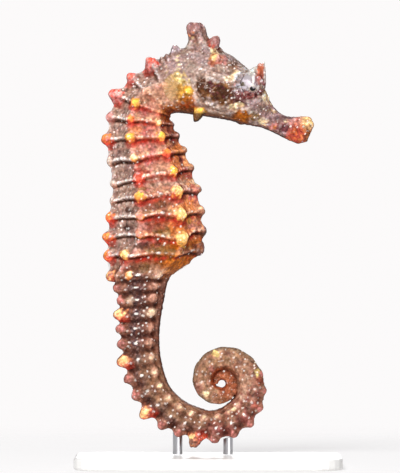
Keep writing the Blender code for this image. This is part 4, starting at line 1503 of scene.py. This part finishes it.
def eye_colours(offset, side):
    """The eye's pattern with a small dark pupil, its top cut by a pale streak from above that stands as
    a painted highlight.
    """
    points = offset + EYE_CENTRE
    mirrored = offset * (1, side, 1)
    fine = ripple(mirrored, 1.2, 31) + 0.6 * ripple(mirrored, 0.45, 32)
    colour = eye_pattern(points, "silver", fine, np.ones(len(offset)))
    dx, dz = from_spot(points, PUPIL_CENTRE)
    away = np.hypot(dx / 0.62, dz / 0.48)
    # The pupil's top is left out, so the pattern's pale colours show there as a painted highlight.
    pupil = ease(1.08, 0.9, away) * ease(0.7, 1.0, np.hypot((dx - 0.2) / 0.42, (dz - 0.45) / 0.5))
    return layers(colour, ("cream", hump(away, 1.2, 0.15) * 0.3), ("pupil", pupil))


def build_eyes():
    """Two eyeballs, each with a slightly bulging cornea."""
    for side, label in SIDES:
        vertices, faces = ball_mesh(np.zeros(3), EYE_RADIUS, EYE_SEGMENTS)
        away = np.hypot(vertices[:, 0] - 0.15, vertices[:, 2] + 0.6)
        cornea = 1 + 0.05 * hump(away, 0.0, 1.1) * (vertices[:, 1] * side > 0)
        placed = vertices * cornea[:, None] + EYE_CENTRE * (1, side, 1)
        colour = eye_colours(vertices, side)
        material = tinted_material("eye_" + label, EYE_FINISH)
        body_piece("eyeball_" + label, placed, faces, colour, material, "eye_" + label)


def pectoral_lines(side):
    """Root and edge lines of the fan behind a cheek, in millimetres."""
    share = np.linspace(0, 1, FIN_COLUMNS)
    angle = np.radians(-62 + 124 * share)
    back = np.array([-1.0, side * 0.12, 0.0])
    spokes = np.cos(angle)[:, None] * back + np.sin(angle)[:, None] * np.array([0, 0, 1.0])
    centre = PECTORAL_CENTRE * (1, side, 1)
    reach = 3.3 + 0.18 * np.abs(np.sin(13 * math.pi * share))
    return centre + spokes * 0.6, centre + spokes * reach[:, None]


def midline_lines(name):
    """Root and edge lines of a fin on the body's middle line, in millimetres."""
    start, end, depth, height, rake = MIDLINE_FINS[name]
    share = np.linspace(0, 1, FIN_COLUMNS)
    middle, half = middle_and_half(body_lines(start + (end - start) * share))
    surface = middle + half * depth
    outward = half / np.linalg.norm(half, axis=1, keepdims=True) * np.sign(depth)
    along = np.gradient(surface, axis=0)
    along /= np.linalg.norm(along, axis=1, keepdims=True)
    reach = height * (0.45 + 0.55 * np.sin(math.pi * share) ** 0.6)
    reach = reach * (1 - 0.10 * np.abs(np.cos(9 * math.pi * share)))
    edge = surface + (outward + along * rake) * reach[:, None]
    return np.insert(surface, 1, 0.0, axis=1), np.insert(edge, 1, 0.0, axis=1)


def sheet_faces():
    """Faces of a fin: its two sides as grids of quads, and a rim that joins them all round."""
    count = FIN_ROWS * FIN_COLUMNS
    faces = []
    for row in range(FIN_ROWS - 1):
        for first in range(row * FIN_COLUMNS, (row + 1) * FIN_COLUMNS - 1):
            quad = (first, first + 1, first + FIN_COLUMNS + 1, first + FIN_COLUMNS)
            faces.append(quad)
            faces.append(tuple(number + count for number in reversed(quad)))
    border = list(range(FIN_COLUMNS))
    border += range(2 * FIN_COLUMNS - 1, count, FIN_COLUMNS)
    border += range(count - 2, count - FIN_COLUMNS - 1, -1)
    border += range(count - 2 * FIN_COLUMNS, 0, -FIN_COLUMNS)
    for first, second in zip(border, border[1:] + border[:1]):
        faces.append((second, first, first + count, second + count))
    return faces


def build_fin(name, root, edge, alpha):
    """A thin membrane crossed by raised rays, closed on all sides."""
    share = np.linspace(0, 1, FIN_ROWS)[:, None, None]
    column = np.arange(FIN_COLUMNS)
    rays = 0.5 + 0.5 * np.cos(column * math.pi / 2)
    wave = 0.04 * share * np.sin(column * math.pi / 4)[None, :, None]
    sideways = np.array([0.0, 1.0, 0.0])
    sheet = root[None] * (1 - share) + edge[None] * share + sideways * wave
    thickness = sideways * (0.035 + 0.05 * rays)[None, :, None] * (1.2 - 0.6 * share)
    vertices = np.concatenate([(sheet + thickness).reshape(-1, 3), (sheet - thickness).reshape(-1, 3)])
    colour = layers("amber_light", ("cream", np.tile(rays, FIN_ROWS * 2) * 0.8))
    material = tinted_material("fin_" + name, {**FIN_FINISH, "Alpha": alpha})
    body_piece(name + "_rayed", vertices, sheet_faces(), colour, material, name)


def build_fins():
    """The fins of the back and the vent, and the fan behind each cheek."""
    for name in MIDLINE_FINS:
        build_fin(name, *midline_lines(name), MIDLINE_ALPHA)
    for side, label in SIDES:
        build_fin("pectoral_fin_" + label, *pectoral_lines(side), PECTORAL_ALPHA)


def set_material(name, finish):
    """Give a carried-over frame node its finish."""
    node = bpy.data.objects[name]
    if not node.material_slots:
        node.data.materials.append(finish)
    for slot in node.material_slots:
        slot.material = finish


def build_stand():
    """Finishes of the base and the rods, which the frame carries over."""
    set_material("stand_base", plain_material("stand_satin", *STAND_SATIN))
    for name in ("stand_rod_front", "stand_rod_rear"):
        set_material(name, plain_material("rod_steel", *ROD_STEEL))


def build_studio():
    """The floor and three soft lights that face the seahorse."""
    mesh = bpy.data.meshes.new("floor")
    corners = [(-FLOOR_REACH, -FLOOR_REACH, 0), (FLOOR_REACH, -FLOOR_REACH, 0),
               (FLOOR_REACH, FLOOR_REACH, 0), (-FLOOR_REACH, FLOOR_REACH, 0)]
    mesh.from_pydata(corners, [], [(0, 1, 2, 3)])
    mesh.materials.append(floor_material())
    add_object("floor", mesh)
    for name, position, size, power in LIGHTS:
        data = bpy.data.lights.new(name, "AREA")
        data.size = size
        data.energy = power
        light = add_object(name, data)
        light.location = position
        way = Vector(LIT_POINT) - Vector(position)
        light.rotation_euler = way.to_track_quat("-Z", "Y").to_euler()
    bpy.context.scene.view_settings.view_transform = "Standard"


def build_world():
    """Dim, even light from all round; the camera sees a pale backdrop in its place."""
    world = bpy.data.worlds.new("studio")
    world.use_nodes = True
    bpy.context.scene.world = world
    tree = world.node_tree
    around = tree.nodes["Background"]
    feed(tree, around, {"Color": WORLD_LIGHT})
    seen = add_node(tree, "Background", "Background", {"Color": BACKDROP})
    direct = add_node(tree, "LightPath", "Is Camera Ray")
    chosen = add_node(tree, "MixShader", "Shader", {0: direct, 1: around.outputs["Background"], 2: seen})
    feed(tree, tree.nodes["World Output"], {"Surface": chosen})


def build_camera():
    """The photo's view, square to the seahorse's side."""
    data = bpy.data.cameras.new("camera")
    data.lens = data.sensor_width * CAMERA_DISTANCE / VIEW_HEIGHT
    camera = add_object("camera", data)
    camera.location = (VIEW_CENTRE[0], -CAMERA_DISTANCE, VIEW_CENTRE[1])
    camera.rotation_euler = (math.radians(90), 0, 0)
    bpy.context.scene.camera = camera


def main():
    build_studio()
    build_world()
    build_camera()
    build_skin()
    build_eyes()
    build_stand()
    build_fins()


main()
